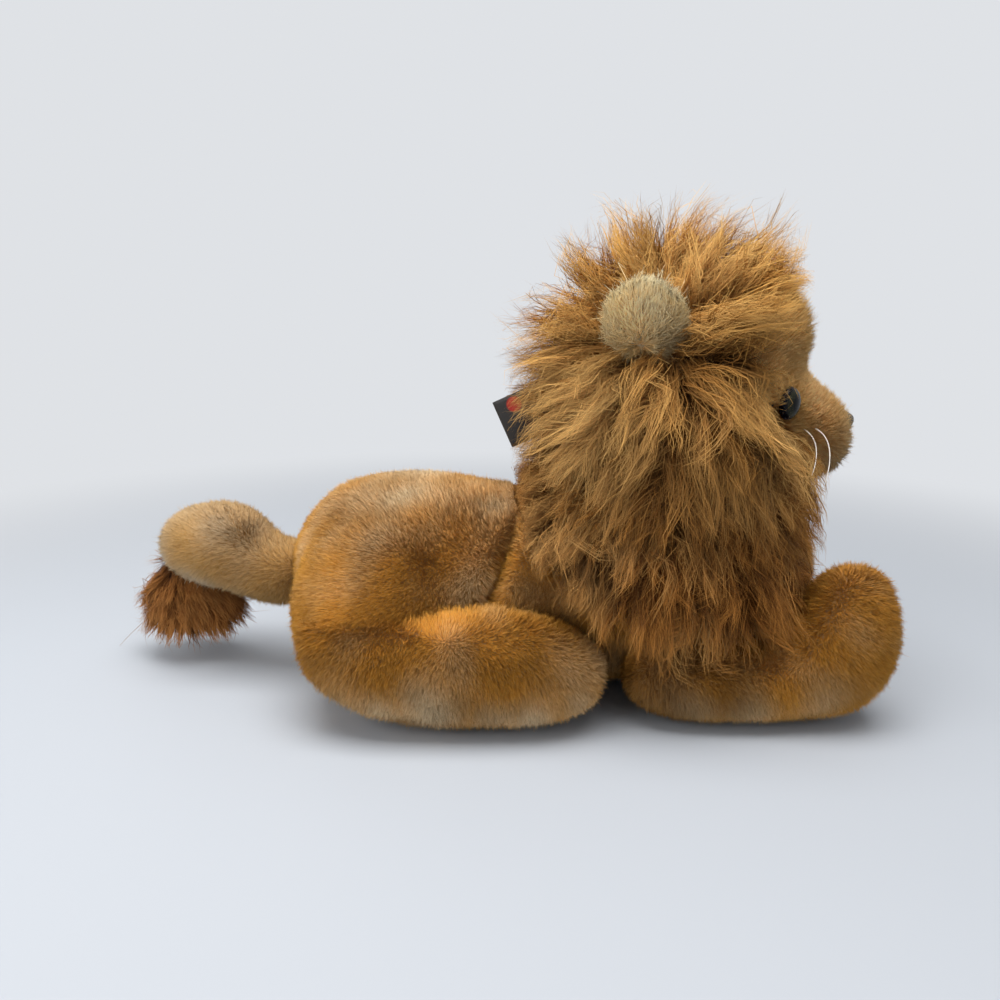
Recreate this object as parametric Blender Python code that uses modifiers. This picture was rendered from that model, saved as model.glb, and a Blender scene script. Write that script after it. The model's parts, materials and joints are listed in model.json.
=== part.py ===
"""Plush lion lying on its belly: skins over stuffing, a long-pile mane, safety eyes, ears, legs and a tail.

Metres. +X is forward, +Z is up and the origin is on the floor under the middle of the belly.
The right side of the animal is at -Y.
"""

import math

import bmesh
import bpy
from mathutils import Matrix, Vector

# Fabric, seams and floor
PLUSH_THICKNESS = 0.0040
TAIL_FABRIC = 0.0030
SEAM_GAP = 0.0003
FLOOR_PRESS = 0.0005
CUT_OVERRUN = 0.0100
BODY_RING_POINTS = 8
LIMB_RING_POINTS = 8
BALL_SEGMENTS = 20
BALL_RINGS = 12
MERGE_DISTANCE = 0.00001

# Torso
BELLY_TO_RUMP = 0.0895
TORSO_LENGTH = 0.2100
TORSO_WIDTH = 0.1020
TORSO_HEIGHT = 0.0950
# along the torso, half width, top, bottom
torso_section_shares = (
    (0.000, 0.20, 0.67, 0.38),
    (0.035, 0.56, 0.82, 0.23),
    (0.100, 0.81, 0.95, 0.09),
    (0.195, 0.98, 1.00, 0.01),
    (0.315, 1.00, 1.00, 0.00),
    (0.435, 0.91, 0.95, 0.00),
    (0.560, 0.83, 0.95, 0.00),
    (0.700, 0.84, 0.99, 0.00),
    (0.830, 0.79, 0.97, 0.02),
    (0.930, 0.62, 0.85, 0.11),
    (0.985, 0.34, 0.66, 0.29),
    (1.000, 0.14, 0.56, 0.39),
)

# Neck seam, which leans forward like the neck
NECK_TILT = math.radians(12)
NECK_SINK = 0.0087
neck_along_share = 0.83
neck_height_share = 0.90

# Head
HEAD_LENGTH = 0.1155
HEAD_WIDTH = 0.0930
HEAD_HEIGHT = 0.0960
head_behind_neck_share = 0.481
# along the head, half width, top, bottom
head_section_shares = (
    (0.000, 0.18, 0.62, 0.40),
    (0.035, 0.46, 0.74, 0.27),
    (0.120, 0.75, 0.89, 0.12),
    (0.260, 0.95, 0.98, 0.03),
    (0.430, 1.00, 1.00, 0.00),
    (0.590, 0.91, 0.94, 0.00),
    (0.700, 0.70, 0.81, 0.04),
    (0.790, 0.54, 0.67, 0.08),
    (0.890, 0.48, 0.57, 0.12),
    (0.965, 0.39, 0.50, 0.16),
    (1.000, 0.20, 0.42, 0.24),
)

# Mane, as depths of pile over the head and reaches round the shoulders
MANE_TOP_DEPTH = 0.0270
MANE_BACK_DEPTH = 0.0250
MANE_SIDE_DEPTH = 0.0170
MANE_FRONT_SHORTFALL = 0.0185
RUFF_HEM_HEIGHT = 0.0345
RUFF_CLEARANCE = 0.0010
# reach, width and height of the face opening, of the head's length, width and height
face_opening_size_shares = (0.381, 1.290, 0.875)
# along the head and up it
face_opening_shares = (0.88, 0.40)
# height, back, front, half width
crown_section_shares = (
    (-0.12, 0.020, 1.030, 0.94),
    (0.07, 0.000, 1.035, 0.99),
    (0.30, 0.000, 1.010, 1.00),
    (0.52, 0.045, 1.000, 0.99),
    (0.72, 0.130, 0.975, 0.88),
    (0.88, 0.240, 0.890, 0.67),
    (0.97, 0.360, 0.780, 0.40),
    (1.00, 0.450, 0.690, 0.20),
)
# height between hem and neck, back, front, half width
ruff_section_shares = (
    (1.30, 0.010, 1.040, 0.96),
    (0.92, 0.010, 1.030, 0.98),
    (0.58, 0.045, 0.985, 0.98),
    (0.30, 0.120, 0.950, 0.96),
    (0.08, 0.230, 0.925, 0.92),
    (0.00, 0.290, 0.890, 0.84),
)

# Ears, each a cupped disc with a rounded root
EAR_RADIUS = 0.0155
EAR_CUP_DEPTH = 0.0060
EAR_BACK_FABRIC = 0.0020
EAR_FRONT_FABRIC = 0.0022
EAR_RIM_PADDING = 0.0014
EAR_ROOT_DROP = 0.0120
EAR_SWING_ROOM = 0.0058
EAR_BEARING = math.radians(124)
EAR_ELEVATION = math.radians(26)
EAR_LEAN_OUT = math.radians(27)
EAR_LEAN_BACK = math.radians(24)
EAR_STEPS = 16
EAR_ROOT_STEPS = 8
# along the head and up it
ear_aim_shares = (0.43, 0.50)
ear_profile_shares = (0.0, 0.35, 0.65, 0.85, 1.0)
ear_edge_share = 0.45

# Safety eyes
EYE_RADIUS = 0.0062
EYE_DOME = 0.0038
EYE_FLANGE = 0.0012
EYE_SEAT = 0.0014
EYE_BEARING = math.radians(66)
EYE_ELEVATION = math.radians(5)
EYE_FACING = math.radians(46)
EYE_STEPS = 12
EYE_ARC_DEGREES = (90, 60, 35, 12)
# along the head and up it
eye_aim_shares = (0.55, 0.47)
POST_RADIUS = 0.0018
POST_LENGTH = 0.0120
WASHER_RADIUS = 0.0060
WASHER_THICKNESS = 0.0016
POST_FIT = 0.0001

# Nose
NOSE_WIDTH = 0.0130
NOSE_HEIGHT = 0.0085
NOSE_DEPTH = 0.0060
NOSE_SEAT = 0.0022
NOSE_STEPS = 16
# along the head and up it
nose_aim_shares = (0.80, 0.39)
nose_taper_share = 0.45

# Whiskers
WHISKER_RADIUS = 0.00025
WHISKER_LENGTH = 0.0280
WHISKER_SPACING = 0.0050
WHISKER_DROP = 0.0130
WHISKER_POINTS = 8
# along the head and up it
whisker_root_shares = (0.80, 0.39)
whisker_back_share = 0.40

# Neck tag
TAG_WIDTH = 0.0200
TAG_LENGTH = 0.0290
TAG_THICKNESS = 0.0009
TAG_SHOW = 0.0045
TAG_SIDE = 0.0040
TAG_PITCH = math.radians(24)
tag_height_share = 0.30

# Hind legs, folded beside the rump with the feet forward
HIND_LEG_LENGTH = 0.1230
HIND_LEG_WIDTH = 0.0420
HIND_LEG_HEIGHT = 0.0540
HIND_LEG_SPLAY = math.radians(20)
hind_leg_start_share = 0.045
hind_leg_out_share = 0.45
hind_hinge_along_share = 0.035
hind_hinge_out_share = 0.30
# along the leg, half width, top, bottom
hind_leg_section_shares = (
    (0.000, 0.30, 0.84, 0.50),
    (0.080, 0.70, 0.94, 0.27),
    (0.240, 0.94, 0.98, 0.08),
    (0.430, 1.00, 1.00, 0.00),
    (0.620, 1.00, 1.00, 0.00),
    (0.780, 0.94, 0.93, 0.01),
    (0.900, 0.78, 0.80, 0.08),
    (0.975, 0.52, 0.66, 0.22),
    (1.000, 0.26, 0.56, 0.34),
)

# Front legs, laid forward from under the ruff
FRONT_LEG_LENGTH = 0.1087
FRONT_LEG_WIDTH = 0.0420
FRONT_LEG_HEIGHT = 0.0360
PAW_HEIGHT = 0.0680
FRONT_LEG_SPLAY = math.radians(10)
front_leg_start_share = 0.645
front_leg_out_share = 0.385
front_hinge_inset_share = 0.03
# along the leg, half width, top, bottom; tops past the wrist are shares of the paw height
front_leg_section_shares = (
    (0.000, 0.34, 0.72, 0.36),
    (0.070, 0.72, 0.94, 0.12),
    (0.220, 0.94, 1.00, 0.00),
    (0.420, 0.97, 1.00, 0.00),
    (0.590, 0.97, 1.00, 0.00),
)
paw_section_shares = (
    (0.690, 1.00, 0.80, 0.00),
    (0.790, 1.03, 0.97, 0.01),
    (0.885, 0.97, 1.00, 0.07),
    (0.955, 0.74, 0.91, 0.18),
    (1.000, 0.36, 0.70, 0.40),
)

# Tail, which bends up and away from the rump
TAIL_THICKNESS = 0.0420
TAIL_LENGTH = 0.0600
TAIL_SWEEP = 0.0190
TAIL_RISE = 0.0100
TAIL_MOUTH_RADIUS = 0.0060
tail_root_height_share = 0.505
tail_root_out_share = 0.015
tail_ball_share = 0.83
# back, aside, rise, half thickness
tail_path_shares = (
    (-0.272, 0.00, 0.00, 0.36),
    (-0.200, 0.00, 0.00, 0.61),
    (-0.100, 0.00, 0.00, 0.79),
    (0.030, 0.00, 0.02, 0.825),
    (0.200, 0.08, 0.24, 0.84),
    (0.440, 0.30, 1.08, 1.05),
    (0.680, 0.62, 1.00, 0.98),
    (0.880, 0.88, 0.62, 0.80),
    (1.000, 1.00, 0.30, 0.42),
)

# Tuft of long pile under the end of the tail
TUFT_LENGTH = 0.0520
TUFT_WIDTH = 0.0360
TUFT_HEIGHT = 0.0330
tuft_under_share = 0.80
tuft_seat_share = 0.25
# drop, back, half length, half width
tuft_section_shares = (
    (0.00, -0.06, 0.46, 0.60),
    (0.22, -0.06, 0.74, 0.84),
    (0.58, -0.04, 1.00, 1.00),
    (0.88, -0.03, 0.92, 0.92),
    (1.00, -0.03, 0.55, 0.60),
)

# Paints: key, material, red, green and blue as seen, roughness and coat
PAINTS = (
    ("plush", "gold_plush", (0.74, 0.54, 0.29), 0.90, 0.0),
    ("mane", "mane_pile", (0.66, 0.46, 0.23), 0.85, 0.0),
    ("cream", "cream_pile", (0.88, 0.80, 0.64), 0.90, 0.0),
    ("tuft", "tuft_pile", (0.47, 0.29, 0.13), 0.85, 0.0),
    ("filling", "polyester_filling", (0.93, 0.92, 0.88), 1.00, 0.0),
    ("lens", "eye_lens", (0.30, 0.38, 0.42), 0.05, 1.0),
    ("eye", "eye_backing", (0.05, 0.05, 0.06), 0.15, 0.5),
    ("nose", "nose", (0.16, 0.11, 0.09), 0.35, 0.0),
    ("nylon", "whisker_nylon", (0.86, 0.86, 0.86), 0.20, 0.0),
    ("washer", "lock_washer", (0.80, 0.80, 0.78), 0.50, 0.0),
    ("tag", "tag_ribbon", (0.08, 0.07, 0.08), 0.60, 0.0),
)

SIDES = (("right", -1), ("left", 1))
UP = Vector((0, 0, 1))
FORWARD = Vector((1, 0, 0))
ACROSS = Vector((0, 1, 0))


def clear_scene():
    for item in list(bpy.data.objects):
        bpy.data.objects.remove(item, do_unlink=True)


def new_collection(name):
    collection = bpy.data.collections.new(name)
    bpy.context.scene.collection.children.link(collection)
    return collection


def linear(value):
    if value <= 0.04045:
        return value / 12.92
    return ((value + 0.055) / 1.055) ** 2.4


def make_material(name, seen_colour, roughness, coat):
    material = bpy.data.materials.new(name)
    material.use_nodes = True
    surface = material.node_tree.nodes["Principled BSDF"]
    surface.inputs["Base Color"].default_value = [linear(part) for part in seen_colour] + [1]
    surface.inputs["Roughness"].default_value = roughness
    surface.inputs["Metallic"].default_value = 0
    surface.inputs["Coat Weight"].default_value = coat
    return material


class Workshop:
    """Holds the two collections and makes objects in them."""

    def __init__(self):
        self.parts = new_collection("plush_lion")
        self.cutters = new_collection("plush_lion_cutters")

    def add(self, name, mesh, collection):
        item = bpy.data.objects.new(name, mesh)
        collection.objects.link(item)
        return item

    def part(self, name, mesh, material):
        item = self.add(name, mesh, self.parts)
        item.data.materials.clear()
        item.data.materials.append(material)
        return item

    def guide(self, name, mesh):
        item = self.add(name, mesh, self.cutters)
        item.hide_render = True
        item.display_type = "WIRE"
        return item

    def pivot(self, name, place):
        empty = self.add(name, None, self.cutters)
        empty.location = place
        empty.empty_display_size = POST_LENGTH
        bpy.context.view_layer.update()
        return empty


def ride(pieces, pivot):
    for piece in pieces:
        piece.parent = pivot
        piece.matrix_parent_inverse = pivot.matrix_world.inverted()


def section_ring(count, centre, across, upward, half_width, half_height):
    """Points of a round section, swelled so that the smooth surface keeps the stated size."""
    swell = 3 / (2 + math.cos(2 * math.pi / count))
    ring = []
    for step in range(count):
        turn = 2 * math.pi * step / count
        sideways = across * (half_width * swell * math.cos(turn))
        rise = upward * (half_height * swell * math.sin(turn))
        ring.append(centre + sideways + rise)
    return ring


def mesh_from_rings(name, rings):
    bm = bmesh.new()
    loops = [[bm.verts.new(point) for point in ring] for ring in rings]
    count = len(rings[0])
    for near, far in zip(loops, loops[1:]):
        for step in range(count):
            after = (step + 1) % count
            bm.faces.new((near[step], near[after], far[after], far[step]))
    bm.faces.new(loops[0])
    bm.faces.new(loops[-1])
    bmesh.ops.recalc_face_normals(bm, faces=bm.faces)
    mesh = bpy.data.meshes.new(name)
    bm.to_mesh(mesh)
    bm.free()
    return mesh


def split_faces(mesh):
    """Splits every face into flat triangles, the same way for meshes of one pattern."""
    bm = bmesh.new()
    bm.from_mesh(mesh)
    bmesh.ops.triangulate(bm, faces=bm.faces, quad_method="FIXED", ngon_method="EAR_CLIP")
    bm.to_mesh(mesh)
    bm.free()


def evaluated_mesh(item):
    bpy.context.view_layer.update()
    graph = bpy.context.evaluated_depsgraph_get()
    return bpy.data.meshes.new_from_object(item.evaluated_get(graph))


class SoftForm:
    """A swelling closed form: its smooth outer mesh, and copies of it for skins, fillings and cutters."""

    def __init__(self, shop, name, rings):
        self.shop = shop
        self.name = name
        cage = mesh_from_rings(name + "_cage", rings)
        cage_item = shop.guide(name + "_form", cage)
        smooth = cage_item.modifiers.new("smooth", "SUBSURF")
        smooth.levels = 1
        smooth.render_levels = 1
        self.cage = cage
        self.form = cage_item
        self.outer = evaluated_mesh(cage_item)
        split_faces(self.outer)
        self.outer.shade_smooth()

    def pushed(self, label, distance):
        """Copy of the outer mesh with each point moved along its normal."""
        mesh = self.outer.copy()
        mesh.name = self.name + "_" + label
        normals = [point.vector.copy() for point in mesh.vertex_normals]
        for vertex, normal in zip(mesh.vertices, normals):
            vertex.co += normal * distance
        return mesh

    def clearance(self, distance=SEAM_GAP):
        return self.shop.guide(self.name + "_clearance", self.pushed("clearance", distance))

    def core(self, name, inset):
        """A plainer mesh with the cage's faces, split the same way at any inset, inside the outer mesh."""
        mesh = self.cage.copy()
        mesh.name = name
        normals = [point.vector.copy() for point in self.outer.vertex_normals]
        split_faces(mesh)
        for vertex in mesh.vertices:
            place = self.outer.vertices[vertex.index].co
            vertex.co = place - normals[vertex.index] * inset
        mesh.shade_smooth()
        return mesh

    def skin(self, node, material, thickness, outer_cuts=()):
        """Hollow fabric skin round the room for its filling, cut from outside before it is hollowed."""
        item = self.shop.part(node, self.outer.copy(), material)
        room = self.name + "_cavity"
        cut(item, outer_cuts)
        cut(item, (self.shop.guide(room, self.core(room, thickness)),))
        return item

    def filling(self, node, material, inset):
        return self.shop.part(node, self.core(node, inset), material)

    def surface_hit(self, origin, direction):
        bpy.context.view_layer.update()
        graph = bpy.context.evaluated_depsgraph_get()
        found, place, normal, face = self.form.evaluated_get(graph).ray_cast(origin, direction)
        return place, normal


def cut(item, cutters):
    for cutter in cutters:
        step = item.modifiers.new("cut " + cutter.name, "BOOLEAN")
        step.operation = "DIFFERENCE"
        step.solver = "EXACT"
        step.object = cutter


def join(item, other):
    step = item.modifiers.new("join " + other.name, "BOOLEAN")
    step.operation = "UNION"
    step.solver = "EXACT"
    step.object = other


def box_mesh(name, size):
    bm = bmesh.new()
    bmesh.ops.create_cube(bm, size=1, matrix=Matrix.Diagonal((*size, 1)))
    mesh = bpy.data.meshes.new(name)
    bm.to_mesh(mesh)
    bm.free()
    return mesh


def ball_mesh(name, radii):
    bm = bmesh.new()
    stretch = Matrix.Diagonal((*radii, 1))
    bmesh.ops.create_uvsphere(bm, u_segments=BALL_SEGMENTS, v_segments=BALL_RINGS, radius=1, matrix=stretch)
    mesh = bpy.data.meshes.new(name)
    bm.to_mesh(mesh)
    bm.free()
    mesh.shade_smooth()
    return mesh


def rod_mesh(name, radius, depth, segments):
    bm = bmesh.new()
    bmesh.ops.create_cone(bm, cap_ends=True, segments=segments, radius1=radius, radius2=radius, depth=depth)
    mesh = bpy.data.meshes.new(name)
    bm.to_mesh(mesh)
    bm.free()
    return mesh


def turned_mesh(shop, name, profile, steps, closed=False):
    """Turns a profile of radii and heights round Z. The profile runs down its outer side."""
    mesh = bpy.data.meshes.new(name + "_profile")
    points = [(radius, 0, height) for radius, height in profile]
    edges = [(index, index + 1) for index in range(len(points) - 1)]
    if closed:
        edges.append((len(points) - 1, 0))
    mesh.from_pydata(points, edges, [])
    item = shop.guide(name + "_turning", mesh)
    screw = item.modifiers.new("turn", "SCREW")
    screw.steps = steps
    screw.render_steps = steps
    screw.use_merge_vertices = True
    screw.merge_threshold = MERGE_DISTANCE
    turned = evaluated_mesh(item)
    bpy.data.objects.remove(item, do_unlink=True)
    turned.name = name
    return turned


def frame_matrix(place, toward, up_hint):
    """Matrix whose Z points toward a direction, with Y as near the hint as it can be."""
    z_axis = toward.normalized()
    x_axis = up_hint.cross(z_axis).normalized()
    y_axis = z_axis.cross(x_axis)
    turn = Matrix((x_axis, y_axis, z_axis)).transposed().to_4x4()
    return Matrix.Translation(place) @ turn


def torso_x(along_share):
    return along_share * TORSO_LENGTH - BELLY_TO_RUMP


def neck_place():
    return Vector((torso_x(neck_along_share), 0, neck_height_share * TORSO_HEIGHT))


def neck_axis():
    return Vector((math.sin(NECK_TILT), 0, math.cos(NECK_TILT)))


def head_origin():
    """Point on the middle plane at the back of the head and at the height of its lowest section."""
    neck = neck_place()
    return Vector((neck.x - head_behind_neck_share * HEAD_LENGTH, 0, neck.z - NECK_SINK))


def level_rings(origin, sections, size, count):
    """Rings across X from a table of along, half width, top and bottom shares."""
    length, width, height = size
    rings = []
    for along, half_width, top, bottom in sections:
        middle = (top + bottom) / 2 * height
        half_height = (top - bottom) / 2 * height
        centre = origin + Vector((along * length, 0, middle))
        ring = section_ring(count, centre, ACROSS, UP, half_width * width / 2, half_height)
        rings.append(ring)
    return rings


def torso_rings():
    origin = Vector((torso_x(0), 0, -FLOOR_PRESS))
    size = (TORSO_LENGTH, TORSO_WIDTH, TORSO_HEIGHT)
    return level_rings(origin, torso_section_shares, size, BODY_RING_POINTS)


def head_rings():
    size = (HEAD_LENGTH, HEAD_WIDTH, HEAD_HEIGHT)
    return level_rings(head_origin(), head_section_shares, size, BODY_RING_POINTS)


def hind_leg_rings(side):
    origin = Vector((torso_x(hind_leg_start_share), side * hind_leg_out_share * TORSO_WIDTH, -FLOOR_PRESS))
    size = (HIND_LEG_LENGTH, HIND_LEG_WIDTH, HIND_LEG_HEIGHT)
    return level_rings(origin, hind_leg_section_shares, size, LIMB_RING_POINTS)


def front_leg_rings(side):
    out = side * front_leg_out_share * TORSO_WIDTH
    origin = Vector((torso_x(front_leg_start_share), out, -FLOOR_PRESS))
    leg_size = (FRONT_LEG_LENGTH, FRONT_LEG_WIDTH, FRONT_LEG_HEIGHT)
    paw_size = (FRONT_LEG_LENGTH, FRONT_LEG_WIDTH, PAW_HEIGHT)
    leg = level_rings(origin, front_leg_section_shares, leg_size, LIMB_RING_POINTS)
    paw = level_rings(origin, paw_section_shares, paw_size, LIMB_RING_POINTS)
    return leg + paw


def plan_rings(sections, back_x, length, base_z, height, half_width):
    """Rings across Z from a table of height, back, front and half width shares."""
    rings = []
    for rise, back, front, width in sections:
        middle = back_x + (back + front) / 2 * length
        half_length = (front - back) / 2 * length
        centre = Vector((middle, 0, base_z + rise * height))
        ring = section_ring(BODY_RING_POINTS, centre, FORWARD, ACROSS, half_length, width * half_width)
        rings.append(ring)
    return rings


def mane_plan():
    """Back, length and half width of the mane seen from above."""
    head = head_origin()
    back_x = head.x - MANE_BACK_DEPTH
    length = MANE_BACK_DEPTH + HEAD_LENGTH - MANE_FRONT_SHORTFALL
    return back_x, length, HEAD_WIDTH / 2 + MANE_SIDE_DEPTH


def crown_rings():
    back_x, length, half_width = mane_plan()
    base_z = head_origin().z
    height = HEAD_HEIGHT + MANE_TOP_DEPTH
    return plan_rings(crown_section_shares, back_x, length, base_z, height, half_width)


def ruff_rings():
    back_x, length, half_width = mane_plan()
    height = neck_place().z - RUFF_HEM_HEIGHT
    return plan_rings(ruff_section_shares, back_x, length, RUFF_HEM_HEIGHT, height, half_width)


def neck_block(shop, name, direction):
    """Block on one side of the neck seam, with half the seam's gap on that side left to the block."""
    back_x, length, half_width = mane_plan()
    size = (2 * length, 4 * half_width, 2 * (HEAD_HEIGHT + MANE_TOP_DEPTH))
    block = shop.guide(name, box_mesh(name, size))
    shift = direction * (size[2] - SEAM_GAP) / 2
    place = neck_place() + neck_axis() * shift
    block.matrix_world = Matrix.Translation(place) @ Matrix.Rotation(NECK_TILT, 4, "Y")
    return block


def floor_block(shop):
    size = (4 * TORSO_LENGTH, 4 * TORSO_WIDTH, CUT_OVERRUN)
    block = shop.guide("floor_cutter", box_mesh("floor_cutter", size))
    block.location = (0, 0, -CUT_OVERRUN / 2)
    return block


def tail_hinge_place():
    return Vector((torso_x(-tail_root_out_share), 0, tail_root_height_share * TORSO_HEIGHT))


def tail_ball_radius():
    return tail_ball_share * TAIL_THICKNESS / 2


def make_torso(shop, paints, floor):
    form = SoftForm(shop, "torso", torso_rings())
    above_neck = neck_block(shop, "above_neck_cutter", 1)
    socket_radius = tail_ball_radius() + SEAM_GAP
    tail_socket = shop.guide("tail_socket_cutter", ball_mesh("tail_socket", [socket_radius] * 3))
    tail_socket.location = tail_hinge_place()
    skin = form.skin("torso_skin", paints["plush"], PLUSH_THICKNESS)
    filling = form.filling("torso_stuffing", paints["filling"], PLUSH_THICKNESS + SEAM_GAP)
    cut(skin, (above_neck, tail_socket, floor))
    cut(filling, (above_neck, tail_socket))
    return form, above_neck


def make_leg(shop, paints, name, side_name, rings, torso_clear, floor):
    form = SoftForm(shop, name + "_" + side_name, rings)
    skin = form.skin(name + "_skin_" + side_name, paints["plush"], PLUSH_THICKNESS)
    filling = form.filling(name + "_stuffing_" + side_name, paints["filling"], PLUSH_THICKNESS + SEAM_GAP)
    cut(skin, (torso_clear, floor))
    cut(filling, (torso_clear,))
    return form, (skin, filling)


def hind_hinge_place(side):
    return Vector((torso_x(hind_hinge_along_share), side * hind_hinge_out_share * TORSO_WIDTH, 0))


def front_hinge_place(side):
    out = front_leg_out_share - front_hinge_inset_share
    return Vector((torso_x(front_leg_start_share), side * out * TORSO_WIDTH, 0))


def make_hind_legs(shop, paints, torso_clear, floor):
    for side_name, side in SIDES:
        rings = hind_leg_rings(side)
        form, pieces = make_leg(shop, paints, "hind_leg", side_name, rings, torso_clear, floor)
        ride(pieces, shop.pivot("hind_leg_pivot_" + side_name, hind_hinge_place(side)))


def turned_about(mesh, place, angle):
    """Copy of a mesh turned about the vertical line through a place."""
    copy = mesh.copy()
    turn = Matrix.Translation(place) @ Matrix.Rotation(angle, 4, "Z") @ Matrix.Translation(-place)
    copy.transform(turn)
    return copy


def make_front_legs(shop, paints, torso_clear, floor):
    """Makes both front legs and returns cutters that clear their swing out of the ruff."""
    swings = []
    for side_name, side in SIDES:
        rings = front_leg_rings(side)
        form, pieces = make_leg(shop, paints, "front_leg", side_name, rings, torso_clear, floor)
        hinge = front_hinge_place(side)
        ride(pieces, shop.pivot("front_leg_pivot_" + side_name, hinge))
        room = form.pushed("room", RUFF_CLEARANCE)
        for label, angle in (("rest", 0), ("splayed", side * FRONT_LEG_SPLAY)):
            name = "front_leg_" + label + "_room_" + side_name
            swings.append(shop.guide(name, turned_about(room, hinge, angle)))
    return swings


def bearing_direction(side, bearing, elevation):
    """Direction from a bearing off straight ahead, toward one side, and an elevation."""
    level = math.cos(elevation)
    return Vector((level * math.cos(bearing), side * level * math.sin(bearing), math.sin(elevation)))


def head_point(shares):
    """Point on the middle plane at shares of the head's length and height."""
    along, rise = shares
    return head_origin() + Vector((along * HEAD_LENGTH, 0, rise * HEAD_HEIGHT))


def eye_matrix(form, side):
    start = head_point(eye_aim_shares)
    place, normal = form.surface_hit(start, bearing_direction(side, EYE_BEARING, EYE_ELEVATION))
    facing = bearing_direction(side, EYE_FACING, 0)
    return frame_matrix(place - facing * EYE_SEAT, facing, UP)


def nose_matrix(form):
    start = head_point(nose_aim_shares)
    place, normal = form.surface_hit(start, FORWARD)
    return frame_matrix(place - FORWARD * NOSE_SEAT, FORWARD, UP)


def eye_lens_profile():
    rim = EYE_FLANGE + POST_FIT
    points = []
    for degrees in EYE_ARC_DEGREES:
        turn = math.radians(degrees)
        points.append((EYE_RADIUS * math.cos(turn), rim + EYE_DOME * math.sin(turn)))
    points[0] = (0, rim + EYE_DOME)
    return points + [(EYE_RADIUS, rim), (0, rim)]


def flanged_post_profile(flange_radius, flange, post_length):
    return [
        (0, flange),
        (flange_radius, flange),
        (flange_radius, 0),
        (POST_RADIUS, 0),
        (POST_RADIUS, -post_length),
        (0, -post_length),
    ]


def washer_profile(top):
    bottom = top - WASHER_THICKNESS
    hole = POST_RADIUS + POST_FIT
    return [(WASHER_RADIUS, top), (WASHER_RADIUS, bottom), (hole, bottom), (hole, top)]


def washer_top(seat):
    """Height of a washer that bears on the inside of the fabric, below a flange sunk into its outside."""
    return seat - PLUSH_THICKNESS - SEAM_GAP


def post_hole(shop, name, matrix):
    """Clears a post out of the skin, from just above the fabric's seat to below the post's end."""
    depth = POST_LENGTH + POST_RADIUS
    hole = shop.guide(name, rod_mesh(name, POST_RADIUS + SEAM_GAP, depth, EYE_STEPS))
    hole.matrix_world = matrix @ Matrix.Translation((0, 0, POST_RADIUS / 2 - depth / 2))
    return hole


def flanged_hole(shop, name, matrix):
    """Sinks an eye's flange into the outside of the skin and clears its post."""
    mouth = EYE_RADIUS + SEAM_GAP
    hole = POST_RADIUS + SEAM_GAP
    end = -POST_LENGTH
    flange = [(0, CUT_OVERRUN), (mouth, CUT_OVERRUN), (mouth, -SEAM_GAP)]
    profile = flange + [(hole, -SEAM_GAP), (hole, end), (0, end)]
    cutter = shop.guide(name, turned_mesh(shop, name, profile, EYE_STEPS))
    cutter.matrix_world = matrix
    return cutter


def washer_room(shop, name, matrix, seat):
    """Flattens the fabric's inside for the washer and clears the filling round the post's end."""
    top = washer_top(seat) + SEAM_GAP
    radius = WASHER_RADIUS + SEAM_GAP
    end = -POST_LENGTH - SEAM_GAP
    profile = [(0, top), (radius, top), (radius, end), (0, end)]
    cutter = shop.guide(name, turned_mesh(shop, name, profile, EYE_STEPS))
    half_step = Matrix.Rotation(math.pi / EYE_STEPS, 4, "Z")
    cutter.matrix_world = matrix @ half_step
    return cutter


def make_washer(shop, paints, node, matrix, seat):
    mesh = turned_mesh(shop, node, washer_profile(washer_top(seat)), EYE_STEPS, closed=True)
    washer = shop.part(node, mesh, paints["washer"])
    washer.matrix_world = matrix
    return washer


def make_eye(shop, paints, form, side_name, side):
    matrix = eye_matrix(form, side)
    lens_mesh = turned_mesh(shop, "eye_lens", eye_lens_profile(), EYE_STEPS)
    lens = shop.part("eye_lens_" + side_name, lens_mesh, paints["lens"])
    post_profile = flanged_post_profile(EYE_RADIUS, EYE_FLANGE, POST_LENGTH)
    post_mesh = turned_mesh(shop, "eye_post", post_profile, EYE_STEPS)
    post = shop.part("eye_post_" + side_name, post_mesh, paints["eye"])
    lens.matrix_world = matrix
    post.matrix_world = matrix
    washer = make_washer(shop, paints, "eye_washer_" + side_name, matrix, EYE_SEAT)
    hole = flanged_hole(shop, "eye_hole_cutter_" + side_name, matrix)
    room = washer_room(shop, "eye_washer_room_" + side_name, matrix, EYE_SEAT)
    return [lens, post, washer], hole, room


def nose_mesh(name, swell):
    """Half of a flattened ball that narrows downward, standing on its flat back."""
    radii = (NOSE_WIDTH / 2 + swell, NOSE_HEIGHT / 2 + swell, NOSE_DEPTH + swell)
    bm = bmesh.new()
    stretch = Matrix.Diagonal((*radii, 1))
    rings = NOSE_STEPS // 2
    bmesh.ops.create_uvsphere(bm, u_segments=NOSE_STEPS, v_segments=rings, radius=1, matrix=stretch)
    for vertex in bm.verts:
        below = max(0, -vertex.co.y) / radii[1]
        vertex.co.x *= 1 - nose_taper_share * below
    every = bm.verts[:] + bm.edges[:] + bm.faces[:]
    base = Vector((0, 0, -swell))
    bmesh.ops.bisect_plane(bm, geom=every, plane_co=base, plane_no=UP, clear_inner=True)
    rim = [edge for edge in bm.edges if edge.is_boundary]
    bmesh.ops.contextual_create(bm, geom=rim)
    bmesh.ops.recalc_face_normals(bm, faces=bm.faces)
    mesh = bpy.data.meshes.new(name)
    bm.to_mesh(mesh)
    bm.free()
    mesh.shade_smooth()
    return mesh


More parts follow.
